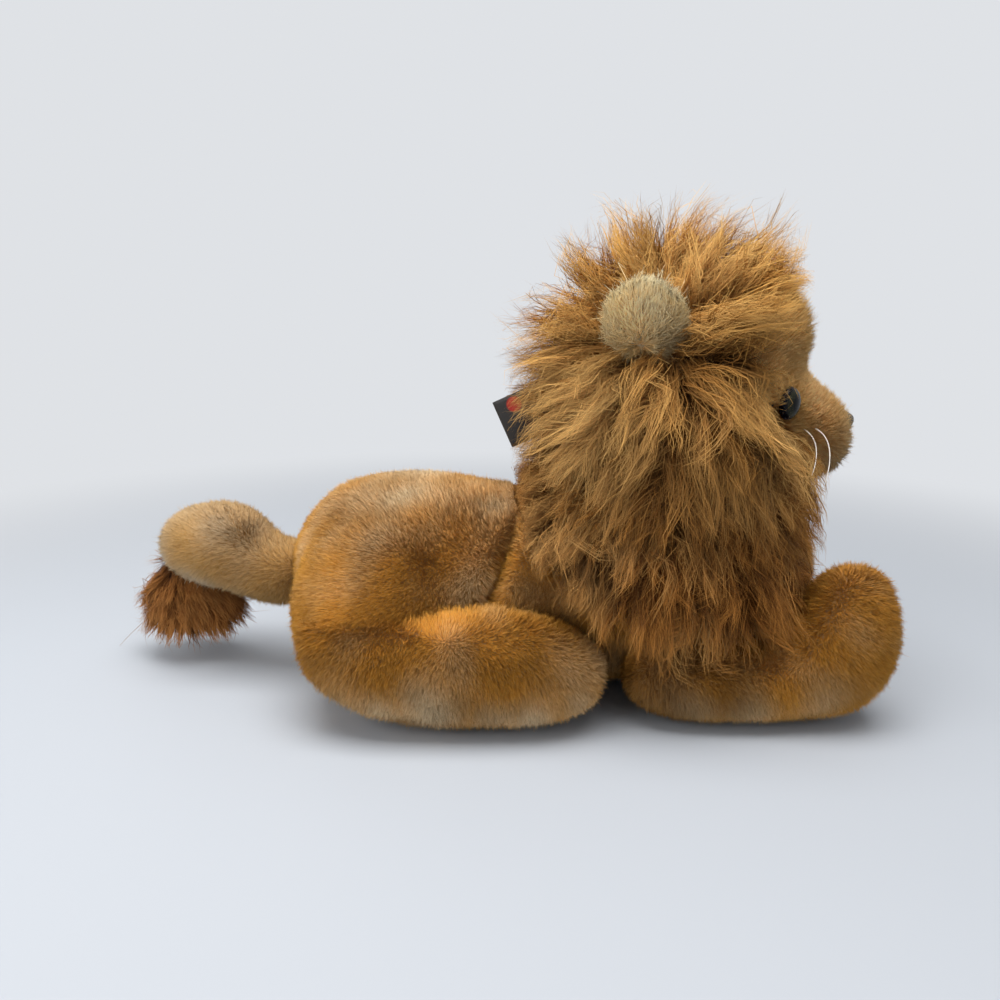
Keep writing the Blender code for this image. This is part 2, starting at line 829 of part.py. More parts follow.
def make_nose(shop, paints, form):
    matrix = nose_matrix(form)
    nose = shop.part("nose", nose_mesh("nose", 0), paints["nose"])
    nose.matrix_world = matrix
    reach = POST_LENGTH + NOSE_DEPTH / 2
    post = shop.guide("nose_post", rod_mesh("nose_post", POST_RADIUS, reach, EYE_STEPS))
    post.matrix_world = matrix @ Matrix.Translation((0, 0, NOSE_DEPTH / 2 - reach / 2))
    join(nose, post)
    washer = make_washer(shop, paints, "nose_washer", matrix, NOSE_SEAT)
    seat = shop.guide("nose_seat_cutter", nose_mesh("nose_seat", SEAM_GAP))
    seat.matrix_world = matrix
    hole = post_hole(shop, "nose_hole_cutter", matrix)
    room = washer_room(shop, "nose_washer_room", matrix, NOSE_SEAT)
    return [nose, washer], [seat, hole], room


def ear_dome(radius_share):
    """Height of the ear's back, which is deepest in the middle and level with zero at the rim."""
    return EAR_CUP_DEPTH * (radius_share**2 - 1)


def ear_padding(radius_share):
    """Padding rolled into the rim, fading to the middle and rounding over at the edge."""
    fade = ear_edge_share if radius_share == 1 else radius_share**2
    return EAR_RIM_PADDING * fade


def ear_back_profile():
    inner = [(share * EAR_RADIUS, ear_dome(share) + EAR_BACK_FABRIC) for share in ear_profile_shares]
    outer = [(share * EAR_RADIUS, ear_dome(share)) for share in ear_profile_shares]
    return inner + outer[::-1]


def ear_front_profile():
    lining = EAR_BACK_FABRIC + SEAM_GAP
    face = []
    for share in ear_profile_shares:
        height = ear_dome(share) + lining + EAR_FRONT_FABRIC + ear_padding(share)
        face.append((share * EAR_RADIUS, height))
    back = [(share * EAR_RADIUS, ear_dome(share) + lining) for share in ear_profile_shares]
    return face + back[::-1]


def ear_root():
    """Radius of the ear's rounded root and the height of its middle in the ear's own frame."""
    thickness = EAR_BACK_FABRIC + SEAM_GAP + EAR_FRONT_FABRIC + EAR_RIM_PADDING
    radius = thickness / 2
    return radius, ear_dome(EAR_ROOT_DROP / EAR_RADIUS) + radius


def ear_matrix(form, side):
    """Frame at the ear's hinge: X along the root, Y up the ear, Z out of its cupped face."""
    start = head_point(ear_aim_shares)
    place, normal = form.surface_hit(start, bearing_direction(side, EAR_BEARING, EAR_ELEVATION))
    radius, middle = ear_root()
    hinge = place + normal * (radius + SEAM_GAP)
    up = Vector((-math.tan(EAR_LEAN_BACK), side * math.tan(EAR_LEAN_OUT), 1)).normalized()
    facing = normal - up * normal.dot(up)
    return frame_matrix(hinge, facing, up)


def ear_root_cutter(shop, name, matrix):
    """Block with a round groove, which leaves the ear a rounded root about its hinge."""
    radius, middle = ear_root()
    span = 2 * EAR_RADIUS
    outline = [(radius * math.cos(turn), radius * math.sin(turn)) for turn in root_turns()]
    outline += [(-span, 0), (-span, -span), (span, -span), (span, 0)]
    bm = bmesh.new()
    near = [bm.verts.new((-span, y, z)) for z, y in outline]
    far = [bm.verts.new((span, y, z)) for z, y in outline]
    count = len(outline)
    for step in range(count):
        after = (step + 1) % count
        bm.faces.new((near[step], near[after], far[after], far[step]))
    bm.faces.new(near)
    bm.faces.new(far)
    bmesh.ops.recalc_face_normals(bm, faces=bm.faces)
    mesh = bpy.data.meshes.new(name)
    bm.to_mesh(mesh)
    bm.free()
    cutter = shop.guide(name, mesh)
    cutter.matrix_world = matrix
    return cutter


def root_turns():
    return [-math.pi * step / EAR_ROOT_STEPS for step in range(EAR_ROOT_STEPS + 1)]


def make_ear(shop, paints, form, side_name, side):
    matrix = ear_matrix(form, side)
    radius, middle = ear_root()
    shift = Matrix.Translation((0, EAR_ROOT_DROP - radius, -middle))
    cutter = ear_root_cutter(shop, "ear_root_cutter_" + side_name, matrix)
    pieces = []
    panels = (("front", ear_front_profile(), "cream"), ("back", ear_back_profile(), "plush"))
    for label, profile, paint in panels:
        mesh = turned_mesh(shop, "ear_" + label, profile, EAR_STEPS)
        mesh.transform(shift)
        panel = shop.part("ear_" + label + "_" + side_name, mesh, paints[paint])
        panel.matrix_world = matrix
        cut(panel, (cutter,))
        pieces.append(panel)
    pocket_radius = EAR_RADIUS + EAR_SWING_ROOM
    pocket = shop.guide("ear_pocket_cutter_" + side_name, ball_mesh("ear_pocket", [pocket_radius] * 3))
    pocket.matrix_world = matrix @ shift
    pivot = shop.pivot("ear_pivot_" + side_name, matrix.translation)
    ride(pieces, pivot)
    return pivot, pocket


def whisker_points(start, side):
    points = []
    for step in range(WHISKER_POINTS):
        along = step / (WHISKER_POINTS - 1)
        back = -FORWARD * (whisker_back_share * WHISKER_LENGTH * along)
        out = Vector((0, side * WHISKER_LENGTH * (1 - whisker_back_share**2) * along, 0))
        points.append(start + back + out - UP * (WHISKER_DROP * along**2))
    return points


def make_whiskers(shop, paints, form, side_name, side):
    """Short row of whiskers on one cheek, each a nylon filament of its own."""
    whiskers = []
    for index, place_name in enumerate(("front", "rear")):
        name = "whisker_" + place_name + "_" + side_name
        origin = head_point(whisker_root_shares) - FORWARD * (WHISKER_SPACING * index)
        place, normal = form.surface_hit(origin, Vector((0, side, 0)))
        curve = bpy.data.curves.new(name, "CURVE")
        curve.dimensions = "3D"
        curve.bevel_depth = WHISKER_RADIUS
        curve.bevel_resolution = 1
        curve.use_fill_caps = True
        spline = curve.splines.new("POLY")
        spline.points.add(WHISKER_POINTS - 1)
        start = place + Vector((0, side * (SEAM_GAP + WHISKER_RADIUS), 0))
        for point, where in zip(spline.points, whisker_points(start, side)):
            point.co = (*where, 1)
        whiskers.append(shop.part(name, curve, paints["nylon"]))
    return whiskers


def tag_matrix():
    """Frame of the tag: X along its length into the mane, Z across its width."""
    back_x, length, half_width = mane_plan()
    height = head_origin().z + tag_height_share * (HEAD_HEIGHT + MANE_TOP_DEPTH)
    edge = Vector((back_x - TAG_SHOW / 2, -TAG_SIDE, height))
    turn = Matrix.Rotation(-TAG_PITCH, 4, "Y")
    return Matrix.Translation(edge) @ turn @ Matrix.Translation((TAG_LENGTH / 2, 0, 0))


def make_tag(shop, paints, head_clear):
    matrix = tag_matrix()
    tag = shop.part("neck_tag", box_mesh("neck_tag", (TAG_LENGTH, TAG_THICKNESS, TAG_WIDTH)), paints["tag"])
    tag.matrix_world = matrix
    cut(tag, (head_clear,))
    room = 2 * SEAM_GAP
    size = (TAG_LENGTH + room, TAG_THICKNESS + room, TAG_WIDTH + room)
    slot = shop.guide("tag_slot_cutter", box_mesh("tag_slot_cutter", size))
    slot.matrix_world = matrix
    return tag, slot


def face_opening(shop):
    reach, width, height = face_opening_size_shares
    radii = (reach * HEAD_LENGTH, width * HEAD_WIDTH / 2, height * HEAD_HEIGHT / 2)
    opening = shop.guide("face_opening_cutter", ball_mesh("face_opening", radii))
    opening.location = head_point(face_opening_shares)
    return opening


def make_head(shop, paints):
    form = SoftForm(shop, "head", head_rings())
    clear = form.clearance()
    below_neck = neck_block(shop, "below_neck_cutter", -1)
    pieces = []
    holes = []
    rooms = []
    pockets = []
    for side_name, side in SIDES:
        eye_pieces, hole, eye_room = make_eye(shop, paints, form, side_name, side)
        pieces += eye_pieces + make_whiskers(shop, paints, form, side_name, side)
        holes.append(hole)
        rooms.append(eye_room)
        ear_pivot, pocket = make_ear(shop, paints, form, side_name, side)
        pieces.append(ear_pivot)
        pockets.append(pocket)
    nose_pieces, nose_cuts, nose_room = make_nose(shop, paints, form)
    rooms.append(nose_room)
    tag, slot = make_tag(shop, paints, clear)
    skin = form.skin("head_skin", paints["plush"], PLUSH_THICKNESS, holes + nose_cuts)
    filling = form.filling("head_stuffing", paints["filling"], PLUSH_THICKNESS + SEAM_GAP)
    cut(skin, rooms + [below_neck])
    cut(filling, rooms + [below_neck])
    crown = SoftForm(shop, "mane_crown", crown_rings())
    crown_part = shop.part("mane_crown", crown.outer, paints["mane"])
    cut(crown_part, [clear, face_opening(shop), below_neck, slot] + pockets)
    ride(pieces + nose_pieces + [skin, filling, tag, crown_part], shop.pivot("head_pivot", neck_place()))


def make_ruff(shop, paints, torso_clear, above_neck, swings):
    form = SoftForm(shop, "mane_ruff", ruff_rings())
    ruff = shop.part("mane_ruff", form.outer, paints["mane"])
    cut(ruff, [torso_clear, above_neck] + swings)


def tail_point(back, aside, rise):
    return tail_hinge_place() + Vector((-back * TAIL_LENGTH, aside * TAIL_SWEEP, rise * TAIL_RISE))


def tail_rings():
    centres = [tail_point(back, aside, rise) for back, aside, rise, half in tail_path_shares]
    rings = []
    for index, section in enumerate(tail_path_shares):
        before = centres[max(index - 1, 0)]
        after = centres[min(index + 1, len(centres) - 1)]
        tangent = (after - before).normalized()
        across = tangent.cross(UP).normalized()
        upward = across.cross(tangent)
        half = section[3] * TAIL_THICKNESS / 2
        rings.append(section_ring(LIMB_RING_POINTS, centres[index], across, upward, half, half))
    return rings


def tuft_rings():
    places = [section for section in tail_path_shares if section[0] >= tuft_under_share]
    above = tail_point(*places[0][:3]) - UP * (tuft_seat_share * TAIL_THICKNESS)
    rings = []
    for drop, back, half_length, half_width in tuft_section_shares:
        centre = above - UP * (drop * TUFT_HEIGHT) - FORWARD * (back * TUFT_LENGTH)
        length = half_length * TUFT_LENGTH / 2
        width = half_width * TUFT_WIDTH / 2
        rings.append(section_ring(BODY_RING_POINTS, centre, FORWARD, ACROSS, length, width))
    return rings


def make_tail(shop, paints):
    form = SoftForm(shop, "tail", tail_rings())
    skin = form.skin("tail_skin", paints["plush"], TAIL_FABRIC)
    filling = form.filling("tail_stuffing", paints["filling"], TAIL_FABRIC + SEAM_GAP)
    depth = 2 * tail_ball_radius()
    mouth = shop.guide("tail_mouth_cutter", rod_mesh("tail_mouth", TAIL_MOUTH_RADIUS, depth, EYE_STEPS))
    mouth_place = tail_hinge_place() + FORWARD * tail_ball_radius()
    mouth.matrix_world = frame_matrix(mouth_place, FORWARD, UP)
    tuft_form = SoftForm(shop, "tail_tuft", tuft_rings())
    tuft = shop.part("tail_tuft", tuft_form.outer, paints["tuft"])
    cut(skin, (mouth,))
    cut(filling, (mouth,))
    cut(tuft, (form.clearance(),))
    ride((skin, filling, tuft), shop.pivot("tail_pivot", tail_hinge_place()))


def make_paints():
    paints = {}
    for key, name, colour, roughness, coat in PAINTS:
        paints[key] = make_material(name, colour, roughness, coat)
    return paints


def build():
    clear_scene()
    shop = Workshop()
    paints = make_paints()
    floor = floor_block(shop)
    torso, above_neck = make_torso(shop, paints, floor)
    torso_clear = torso.clearance()
    make_hind_legs(shop, paints, torso_clear, floor)
    swings = make_front_legs(shop, paints, torso_clear, floor)
    make_head(shop, paints)
    make_ruff(shop, paints, torso_clear, above_neck, swings)
    make_tail(shop, paints)


build()
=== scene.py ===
"""Dresses the plush lion: stuffed skins, real pile, a combed mane, glass eyes, nose, whiskers and tag."""

import json
import math
from collections import namedtuple

import bpy
import numpy as np
from mathutils import Matrix, Vector, kdtree
from mathutils.bvhtree import BVHTree

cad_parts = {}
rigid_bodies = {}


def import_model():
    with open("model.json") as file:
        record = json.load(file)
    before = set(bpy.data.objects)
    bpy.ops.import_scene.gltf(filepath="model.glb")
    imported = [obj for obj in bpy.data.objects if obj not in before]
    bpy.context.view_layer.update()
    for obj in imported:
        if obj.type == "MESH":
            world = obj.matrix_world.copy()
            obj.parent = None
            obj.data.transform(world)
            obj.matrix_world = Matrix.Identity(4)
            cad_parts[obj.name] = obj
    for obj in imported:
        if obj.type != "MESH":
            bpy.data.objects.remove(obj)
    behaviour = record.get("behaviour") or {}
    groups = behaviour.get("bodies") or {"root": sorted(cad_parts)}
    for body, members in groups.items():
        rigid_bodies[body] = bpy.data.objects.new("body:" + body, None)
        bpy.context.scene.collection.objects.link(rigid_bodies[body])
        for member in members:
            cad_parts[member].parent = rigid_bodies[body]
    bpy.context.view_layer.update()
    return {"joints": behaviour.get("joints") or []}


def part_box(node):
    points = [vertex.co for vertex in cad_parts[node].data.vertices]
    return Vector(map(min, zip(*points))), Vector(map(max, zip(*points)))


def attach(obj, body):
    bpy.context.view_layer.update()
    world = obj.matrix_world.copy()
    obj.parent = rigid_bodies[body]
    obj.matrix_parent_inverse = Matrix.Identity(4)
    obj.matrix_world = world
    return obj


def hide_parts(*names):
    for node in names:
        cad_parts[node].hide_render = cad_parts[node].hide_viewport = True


# Driving dimensions, in metres
TORSO_START = (-0.09, 0, -0.0005)
TORSO_SIZE = (0.21, 0.102, 0.095)
HEAD_START = (0.02924, 0, 0.0768)
HEAD_SIZE = (0.1155, 0.093, 0.096)
HIND_LEG_START = (-0.08005, 0.0459, -0.0005)
HIND_LEG_SIZE = (0.123, 0.042, 0.054)
FRONT_LEG_START = (0.04595, 0.0393, -0.0005)
FRONT_LEG_SIZE = (0.1087, 0.042, 0.036)
PAW_HEIGHT = 0.068
HAUNCH_CENTRE = (-0.045, 0.03, 0.041)
HAUNCH_RADII = (0.041, 0.0272, 0.043)
THIGH_CENTRE = (-0.055, 0.037, 0.0375)
THIGH_RADII = (0.0255, 0.021, 0.029)
BROW_CENTRE = (0.0995, 0, 0.147)
BROW_RADII = (0.0235, 0.032, 0.024)
MUZZLE_CENTRE = (0.1255, 0, 0.11)
MUZZLE_RADII = (0.021, 0.0225, 0.0212)
TAIL_HINGE = (-0.09265, 0, 0.04797)
TAIL_LENGTH = 0.06
TAIL_SWEEP = 0.019
TAIL_RISE = 0.01
TAIL_THICKNESS = 0.042
TUFT_TOP = (-0.14645, 0.018, 0.055)
TUFT_SIZE = (0.052, 0.036, 0.04)
FLOOR_CLEARANCE = 0.0003

# The ears' cushions, from the hinge line up
EAR_RADIUS = 0.0155
EAR_CUSHION_SHARE = 0.86
EAR_NARROW_SHARE = 0.92
EAR_TALL_SHARE = 1.22
EAR_DEPTH = 0.0045
EAR_SWELL = 0.0048
EAR_EDGE = 0.0005
EAR_RISE = 0.009
EAR_ROWS = 12
EAR_STEPS = 48

# The eyes' domes
EYE_RADIUS = 0.0062
EYE_DOME = 0.004
EYE_BACK = -0.0022
EYE_RIM = -0.0016
EYE_BACK_SHARE = 0.96
EYE_ROWS = 15
EYE_STEPS = 64

# The nose: half its width, half its height and its depth, then one nostril
NOSE_X = 0.1415
NOSE_FACING = (1, 0, 0.15)
NOSE_RADII = (0.0066, 0.0044, 0.0058)
NOSE_NARROW_SHARE = 0.42
NOSE_TURNS = (0.05, math.pi / 2 + 0.9)
NOSE_ROWS = 24
NOSE_STEPS = 48
NOSTRIL_PLACE = (0.0028, -0.0006, 0.0045)
NOSTRIL_RADIUS = 0.0013
NOSTRIL_DEPTH = 0.0011

# The front whisker: its start, middle and end, and how the rear one differs
whisker_places = (
    (0.1215, 0.024, 0.1145),
    (0.1232, 0.04, 0.1125),
    (0.1155, 0.05, 0.0985),
)
REAR_WHISKER_BACK = -0.005
REAR_WHISKER_LIFT = 0.003
WHISKER_RADIUS = 0.0003
WHISKER_TIP_SHARE = 0.4
WHISKER_POINTS = 24
WHISKER_SIDES = 10

# The tag's ribbon: its width and the length of the folded loop, its place, folds and red spot
TAG_SIZE = (0.02, 0.029)
TAG_PLACE = (0.015, -0.005)
TAG_TURN = math.radians(-24)
TAG_THICKNESS = 0.0003
TAG_GAP = 0.00042
TAG_BULGE = 0.0004
TAG_BULGE_TURN = 3
TAG_FOLD = 0.0006
TAG_WAVE = 0.0006
TAG_WAVE_PACES = (90, 120)
TAG_ROWS = 30
TAG_COLUMNS = 14
TAG_SPOT_PLACE = (-0.0075, -0.0006, 0.006)
TAG_SPOT_RADIUS = 0.0028
TAG_SPOT_SOFT_SHARE = 1.2
tag_spot_colour = (176, 34, 24)

# Planes that no hair passes: the way out, how far, and how ragged the hair ends there
room_planes = (
    ((0, 1, 0), 0.077, 0.004),
    ((0, -1, 0), 0.077, 0.004),
    ((0, 0, 1), 0.208, 0.006),
)
mane_planes = (
    ((1, 0.42, 0.16), 0.1545, 0.008),
    ((1, -0.42, 0.16), 0.1545, 0.008),
    ((-1, 0, -0.162), -0.019, 0.007),
    ((-1, 0, -1), -0.069, 0.02),
    ((0, 0, -1), -0.019, 0.022),
    ((0.2, 0, -1), -0.001, 0.02),
)

# Forms: each row is a station, then shares of the width, the top and the bottom
torso_shares = (
    (0, 0.2, 0.67, 0.38),
    (0.035, 0.56, 0.82, 0.23),
    (0.1, 0.81, 0.95, 0.09),
    (0.195, 0.98, 1, 0.01),
    (0.315, 1, 1, 0),
    (0.435, 0.91, 0.95, 0),
    (0.56, 0.83, 0.95, 0),
    (0.7, 0.84, 0.99, 0),
    (0.83, 0.79, 0.97, 0.02),
    (0.93, 0.62, 0.85, 0.11),
    (0.985, 0.34, 0.66, 0.29),
    (1, 0.14, 0.56, 0.39),
)
head_shares = (
    (0, 0.18, 0.62, 0.4),
    (0.035, 0.46, 0.74, 0.27),
    (0.12, 0.75, 0.89, 0.12),
    (0.26, 0.95, 0.98, 0.03),
    (0.43, 1, 1, 0),
    (0.59, 0.91, 0.94, 0),
    (0.7, 0.7, 0.81, 0.04),
    (0.79, 0.54, 0.67, 0.08),
    (0.89, 0.48, 0.57, 0.12),
    (0.965, 0.39, 0.5, 0.16),
    (1, 0.2, 0.42, 0.24),
)
hind_leg_shares = (
    (0, 0.3, 0.84, 0.5),
    (0.08, 0.7, 0.94, 0.27),
    (0.24, 0.94, 0.98, 0.08),
    (0.43, 1, 1, 0),
    (0.62, 1, 1, 0),
    (0.78, 0.94, 0.93, 0.01),
    (0.9, 0.78, 0.8, 0.08),
    (0.975, 0.52, 0.66, 0.22),
    (1, 0.26, 0.56, 0.34),
)
front_leg_shares = (
    (0, 0.34, 0.72, 0.36),
    (0.07, 0.72, 0.94, 0.12),
    (0.22, 0.94, 1, 0),
    (0.42, 0.97, 1, 0),
    (0.56, 0.97, 1, 0),
)
paw_shares = (
    (0.655, 1, 0.8, 0),
    (0.73, 1.03, 0.96, 0),
    (0.8, 1.03, 1, 0.01),
    (0.885, 0.97, 1, 0.07),
    (0.955, 0.78, 0.93, 0.17),
    (1, 0.4, 0.73, 0.38),
)

# The tail's rows give how far back, aside and up it is, and its thickness; the tuft's rows give
# how far down and back, its length and its width
tail_path_shares = (
    (-0.272, 0, 0, 0.36),
    (-0.2, 0, 0, 0.61),
    (-0.1, 0, 0, 0.79),
    (0.03, 0, 0.02, 0.825),
    (0.2, 0.08, 0.24, 0.84),
    (0.44, 0.3, 1.08, 1.05),
    (0.68, 0.62, 1, 0.98),
    (0.88, 0.88, 0.62, 0.8),
    (1, 1, 0.3, 0.42),
)
tuft_shares = (
    (0, -0.06, 0.46, 0.6),
    (0.22, -0.06, 0.74, 0.84),
    (0.58, -0.04, 1, 1),
    (0.88, -0.03, 0.92, 0.92),
    (1, -0.03, 0.55, 0.6),
)

# Making of the skins
STATIONS = 44
RING_POINTS = 40
BALL_POLE = 0.02
station_smooth_shares = (0.25, 0.5, 0.25)
SKIN_INSET = 0.0035
TUFT_INSET = 0.0055
STUFFING_VOXEL = 0.0034
STUFFING_FRAMES = 20
STUFFING_PRESSURE = 4
SWELL_CAP = 0.0016
SKIN_SMOOTHS = 6

# Waist seam: where it starts and ends on the flank, the groove it pulls in and its dark line
SEAM_TOP = (0.008, 0.08)
SEAM_FOOT = (-0.009, 0.04)
SEAM_DEPTH = 0.0085
SEAM_WIDTH = 0.003
SEAM_BARE = 0.0009
SEAM_FADE = 0.01
SEAM_DARK_WIDTH = 0.0024
SEAM_DARK_SHARE = 0.95
SEAM_MARKS = 24
seam_half_widths = (0.0425, 0.0425, 0.0415, 0.0395, 0.036, 0.03)

# How the mane is combed: each row is a place along and up one side, and the hair's way there
mane_comb_rows = (
    (0.052, 0.172, -0.25, 0.5, 1),
    (0.064, 0.172, 0.2, 0.5, 1),
    (0.078, 0.17, 0.6, 0.45, 0.85),
    (0.094, 0.168, 0.8, 0.4, 0.6),
    (0.11, 0.162, 0.9, 0.35, 0.4),
    (0.068, 0.16, 0.8, 0.2, 0.65),
    (0.078, 0.15, 0.92, 0.15, 0.4),
    (0.09, 0.16, 0.9, 0.2, 0.45),
    (0.092, 0.146, 0.9, 0.1, 0.25),
    (0.045, 0.17, -0.65, 0.25, 0.65),
    (0.034, 0.156, -0.95, 0.25, 0.25),
    (0.026, 0.14, -0.95, 0.25, -0.2),
    (0.026, 0.122, -0.85, 0.25, -0.55),
    (0.028, 0.102, -0.65, 0.25, -0.8),
    (0.038, 0.142, -0.8, 0.35, -0.45),
    (0.045, 0.126, -0.5, 0.4, -0.8),
    (0.06, 0.132, -0.05, 0.4, -0.95),
    (0.062, 0.142, 0.7, 0.2, -0.4),
    (0.072, 0.138, 0.85, 0.2, -0.35),
    (0.086, 0.128, 0.8, 0.15, -0.6),
    (0.1, 0.117, 0.62, 0.15, -0.78),
    (0.04, 0.102, -0.55, 0.3, -0.85),
    (0.06, 0.102, -0.15, 0.3, -1),
    (0.08, 0.102, 0.3, 0.3, -0.95),
    (0.1, 0.098, 0.35, 0.25, -0.95),
    (0.01, 0.086, -0.8, 0.25, -0.6),
    (0.022, 0.076, -0.7, 0.3, -0.75),
    (0.04, 0.07, -0.5, 0.3, -0.9),
    (0.06, 0.068, -0.2, 0.3, -1),
    (0.08, 0.066, 0.02, 0.3, -1),
    (0.1, 0.066, 0.2, 0.3, -0.95),
    (0.115, 0.07, 0.35, 0.2, -0.9),
)
COMB_REACH = 0.009
COMB_SOFT = 0.05
MANE_HALF_WIDTH = 0.045

# How each coat strays from its way: by what share, over what length, and the seed
TORSO_STRAY = (0.45, 0.045, 11)
LIMB_STRAY = (0.45, 0.045, 23)
FACE_STRAY = (0.25, 0.02, 31)
TAIL_STRAY = (0.5, 0.03, 41)
TUFT_STRAY = (0.18, 0.02, 43)
MANE_STRAY = (0.2, 0.03, 53)
LOCK_STRAY = (0.16, 0.009, 57)
EAR_STRAY = (0.22, 0.016, 61)
TORSO_WAY = (-1, 0, -0.45)
LIMB_WAY = (0.25, 0, -0.9)
TAIL_WAY = (-1, 0.1, 0.1)
FACE_WHORL = (0.146, 0, 0.105)
FACE_LIFT_SHARE = 0.6
EAR_WHORL = (-0.003, -0.003, 0)
EAR_LIFT_SHARE = 0.45
tuft_way_shares = (1, 0.5, 0.2)
TUFT_OUT_SHARE = 0.5
TUFT_DOWN_SHARE = 0.5

# The ears, the eyes and the temple, which hair keeps clear of or grows shorter near
EAR_PLACE = (0.0506, 0.0411, 0.1549)
EAR_CLEAR = 0.008
EAR_SHADE = 0.018
EAR_SHORTER_SHARE = 0.3
EYE_CLEAR = 0.0108
eye_view_places = (
    (0.1095, 0.0365, 0.125),
    (0.105, 0.0455, 0.1262),
    (0.1015, 0.054, 0.1275),
)
TEMPLE_PLACE = (0.092, 0.038, 0.145)
TEMPLE_SHADE = 0.017
TEMPLE_SHORTER_SHARE = 0.45

# The edges of the short-haired face and of the mane on the chest
face_edge_x = (0.086, 0.094, 0.108, 0.115, 0.124)
face_edge_low = (0.142, 0.131, 0.115, 0.098, 0.082)
face_edge_high = (0.146, 0.156, 0.163, 0.168, 0.2)
ruff_edge_x = (0.006, 0.014, 0.03, 0.06, 0.1, 0.125)
ruff_edge_z = (0.082, 0.073, 0.06, 0.05, 0.046, 0.048)
RUFF_FRONT = 0.119

# Where hair changes length: from where, and over what distance
CROWN_FADE = (0.135, 0.035)
FRONT_FADE = (0.074, 0.024)
BACK_FADE = (0.05, -0.02)
CHEST_FADE = (0.095, 0.02)
mane_shorter_shares = (0.1, 0.22, 0.05, 0.25)
BROW_FADE = (0.128, 0.03)
CHEEK_FADE = (0.118, -0.03)
face_length_shares = (1.15, 1, 0.8)

# Camera, floor and lamps
CAMERA_PLACE = (0, -0.3, 0.153)
CAMERA_TILT = math.radians(76.4)
CAMERA_LENS = 25.92
SENSOR = 36
FLOOR_HALF = 6
FLOOR_PLAIN = 0.24
FLOOR_GONE = 0.62
SKY_STRENGTH = 0.24
floor_colour = (0.53, 0.565, 0.62, 1)
backdrop_colour = (0.74, 0.76, 0.79, 1)

# Each lamp's name, place, target, size, power and colour
lamps = (
    ("top", (0, -0.16, 0.88), (0.02, -0.02, 0.05), (0.8, 0.5), 8.3, (1, 0.99, 0.97)),
    ("key", (-0.52, -0.36, 0.36), (0, 0, 0.09), (0.5, 0.4), 1.7, (1, 0.98, 0.95)),
    ("fill", (0.55, -0.55, 0.35), (0.02, 0, 0.08), (0.5, 0.4), 0.4, (1, 0.99, 0.97)),
    ("back", (-0.45, 0.6, 0.55), (0, 0, 0.08), (0.5, 0.4), 0.8, (1, 0.99, 0.97)),
)

# Facts that all coats share
DRIFT_WAVES = 6
drift_pace_shares = (0.6, 0.8)
lead_length_shares = (0.72, 0.4)
hair_width_shares = (0.7, 0.6)
clear_depth_shares = (0.15, 0.95)
LEADERS_PER_LOCK = 9
LOCK_GATHER_SHARE = 0.3
LOCK_RAGGED_SHARE = 0.7
LEAST_HAIR_SHARE = 0.15
LEAST_EYE_HAIR_SHARE = 0.12
TAPER_SHARE = 0.72
FACE_GAP = 0.000015
LEAST_REACH = 0.000001
TINY = 1e-9
UV_NAME = "OFBake"
MOST_TRIANGLES = 180000
SIDES = (("right", -1), ("left", 1))
UP = np.array((0.0, 0.0, 1.0))

# Slow changes of a coat's colour: by what share, and over what length
TONE_DRIFT = (0.07, 0.03)
LOCK_TONE_WAVE = 0.012
PALE_DRIFT = (0.12, 0.022)
PALE_GRAIN_SHARE = 0.05
DARK_DRIFT = (0.08, 0.018)


class Style:
    """Named facts about one kind of pile, or named materials."""

    def __init__(self, **facts):
        self.__dict__.update(facts)


# Coats: how many hairs a square metre has, their size, how they stand, gather and waver, and their tones
BODY_PILE = Style(
    per_area=9.5e6, length=0.0044, short_share=0.25, width=0.0003, steps=1, turns=(1, -1),
    stand_share=0.84, settle=0.2, droop_share=0.06, turn_share=0.35, soft_share=0.92,
    per_lock=10, gather_share=0.05, wobble=0.0003, waves=0.5, lock_tone=0.035, own_tone=0.05,
)
MANE_HAIR = Style(
    per_area=3.3e6, length=0.043, short_share=0.66, width=0.00029, steps=7, turns=(1,),
    stand_share=0.76, settle=1.1, droop_share=0.24, turn_share=0.45, soft_share=0.45,
    per_lock=18, gather_share=0.42, wobble=0.0017, waves=1.8, lock_tone=0.13, own_tone=0.1,
    lock_wobble=0.0036, lock_waves=1.2, clear=0.019,
)
EAR_PILE = Style(
    per_area=6.5e6, length=0.0064, short_share=0.4, width=0.00026, steps=3, turns=(1, -1),
    stand_share=0.36, settle=0.6, droop_share=0.05, turn_share=0.4, soft_share=0.55,
    per_lock=8, gather_share=0.3, wobble=0.0008, waves=0.7, lock_tone=0.06, own_tone=0.06,
)
TUFT_HAIR = Style(
    per_area=4.5e6, length=0.015, short_share=0.5, width=0.00032, steps=5, turns=(1,),
    stand_share=0.3, settle=1.2, droop_share=0.3, turn_share=0.4, soft_share=0.5,
    per_lock=30, gather_share=0.65, wobble=0.0012, waves=1, lock_tone=0.11, own_tone=0.09,
)

# Colours as seen on screen: a hair from root to tip, a pale hair's root and tip, which also give the painted
# highlights, and a dark hair, which also gives the painted shade
Paint = namedtuple("Paint", "deep middle tip pale_deep pale_tip dark")
GOLD = Paint((200, 140, 66), (222, 150, 55), (240, 178, 84), (220, 176, 118), (254, 236, 198), (76, 46, 22))
TAIL = Paint((190, 144, 86), (208, 158, 90), (224, 186, 128), (196, 168, 128), (230, 214, 188), (90, 60, 30))
MANE = Paint((112, 70, 28), (177, 122, 52), (213, 167, 92), (158, 106, 52), (242, 198, 126), (58, 30, 12))
FACE = Paint(
    (218, 152, 80), (252, 188, 106), (255, 218, 144), (232, 192, 140), (254, 238, 200), (96, 58, 26)
)
CREAM = Paint(
    (240, 190, 120), (255, 218, 148), (255, 238, 186), (255, 234, 190), (255, 250, 222), (112, 78, 46)
)
TUFT = Paint((56, 26, 8), (142, 88, 38), (182, 124, 66), (120, 76, 36), (196, 142, 84), (52, 24, 8))
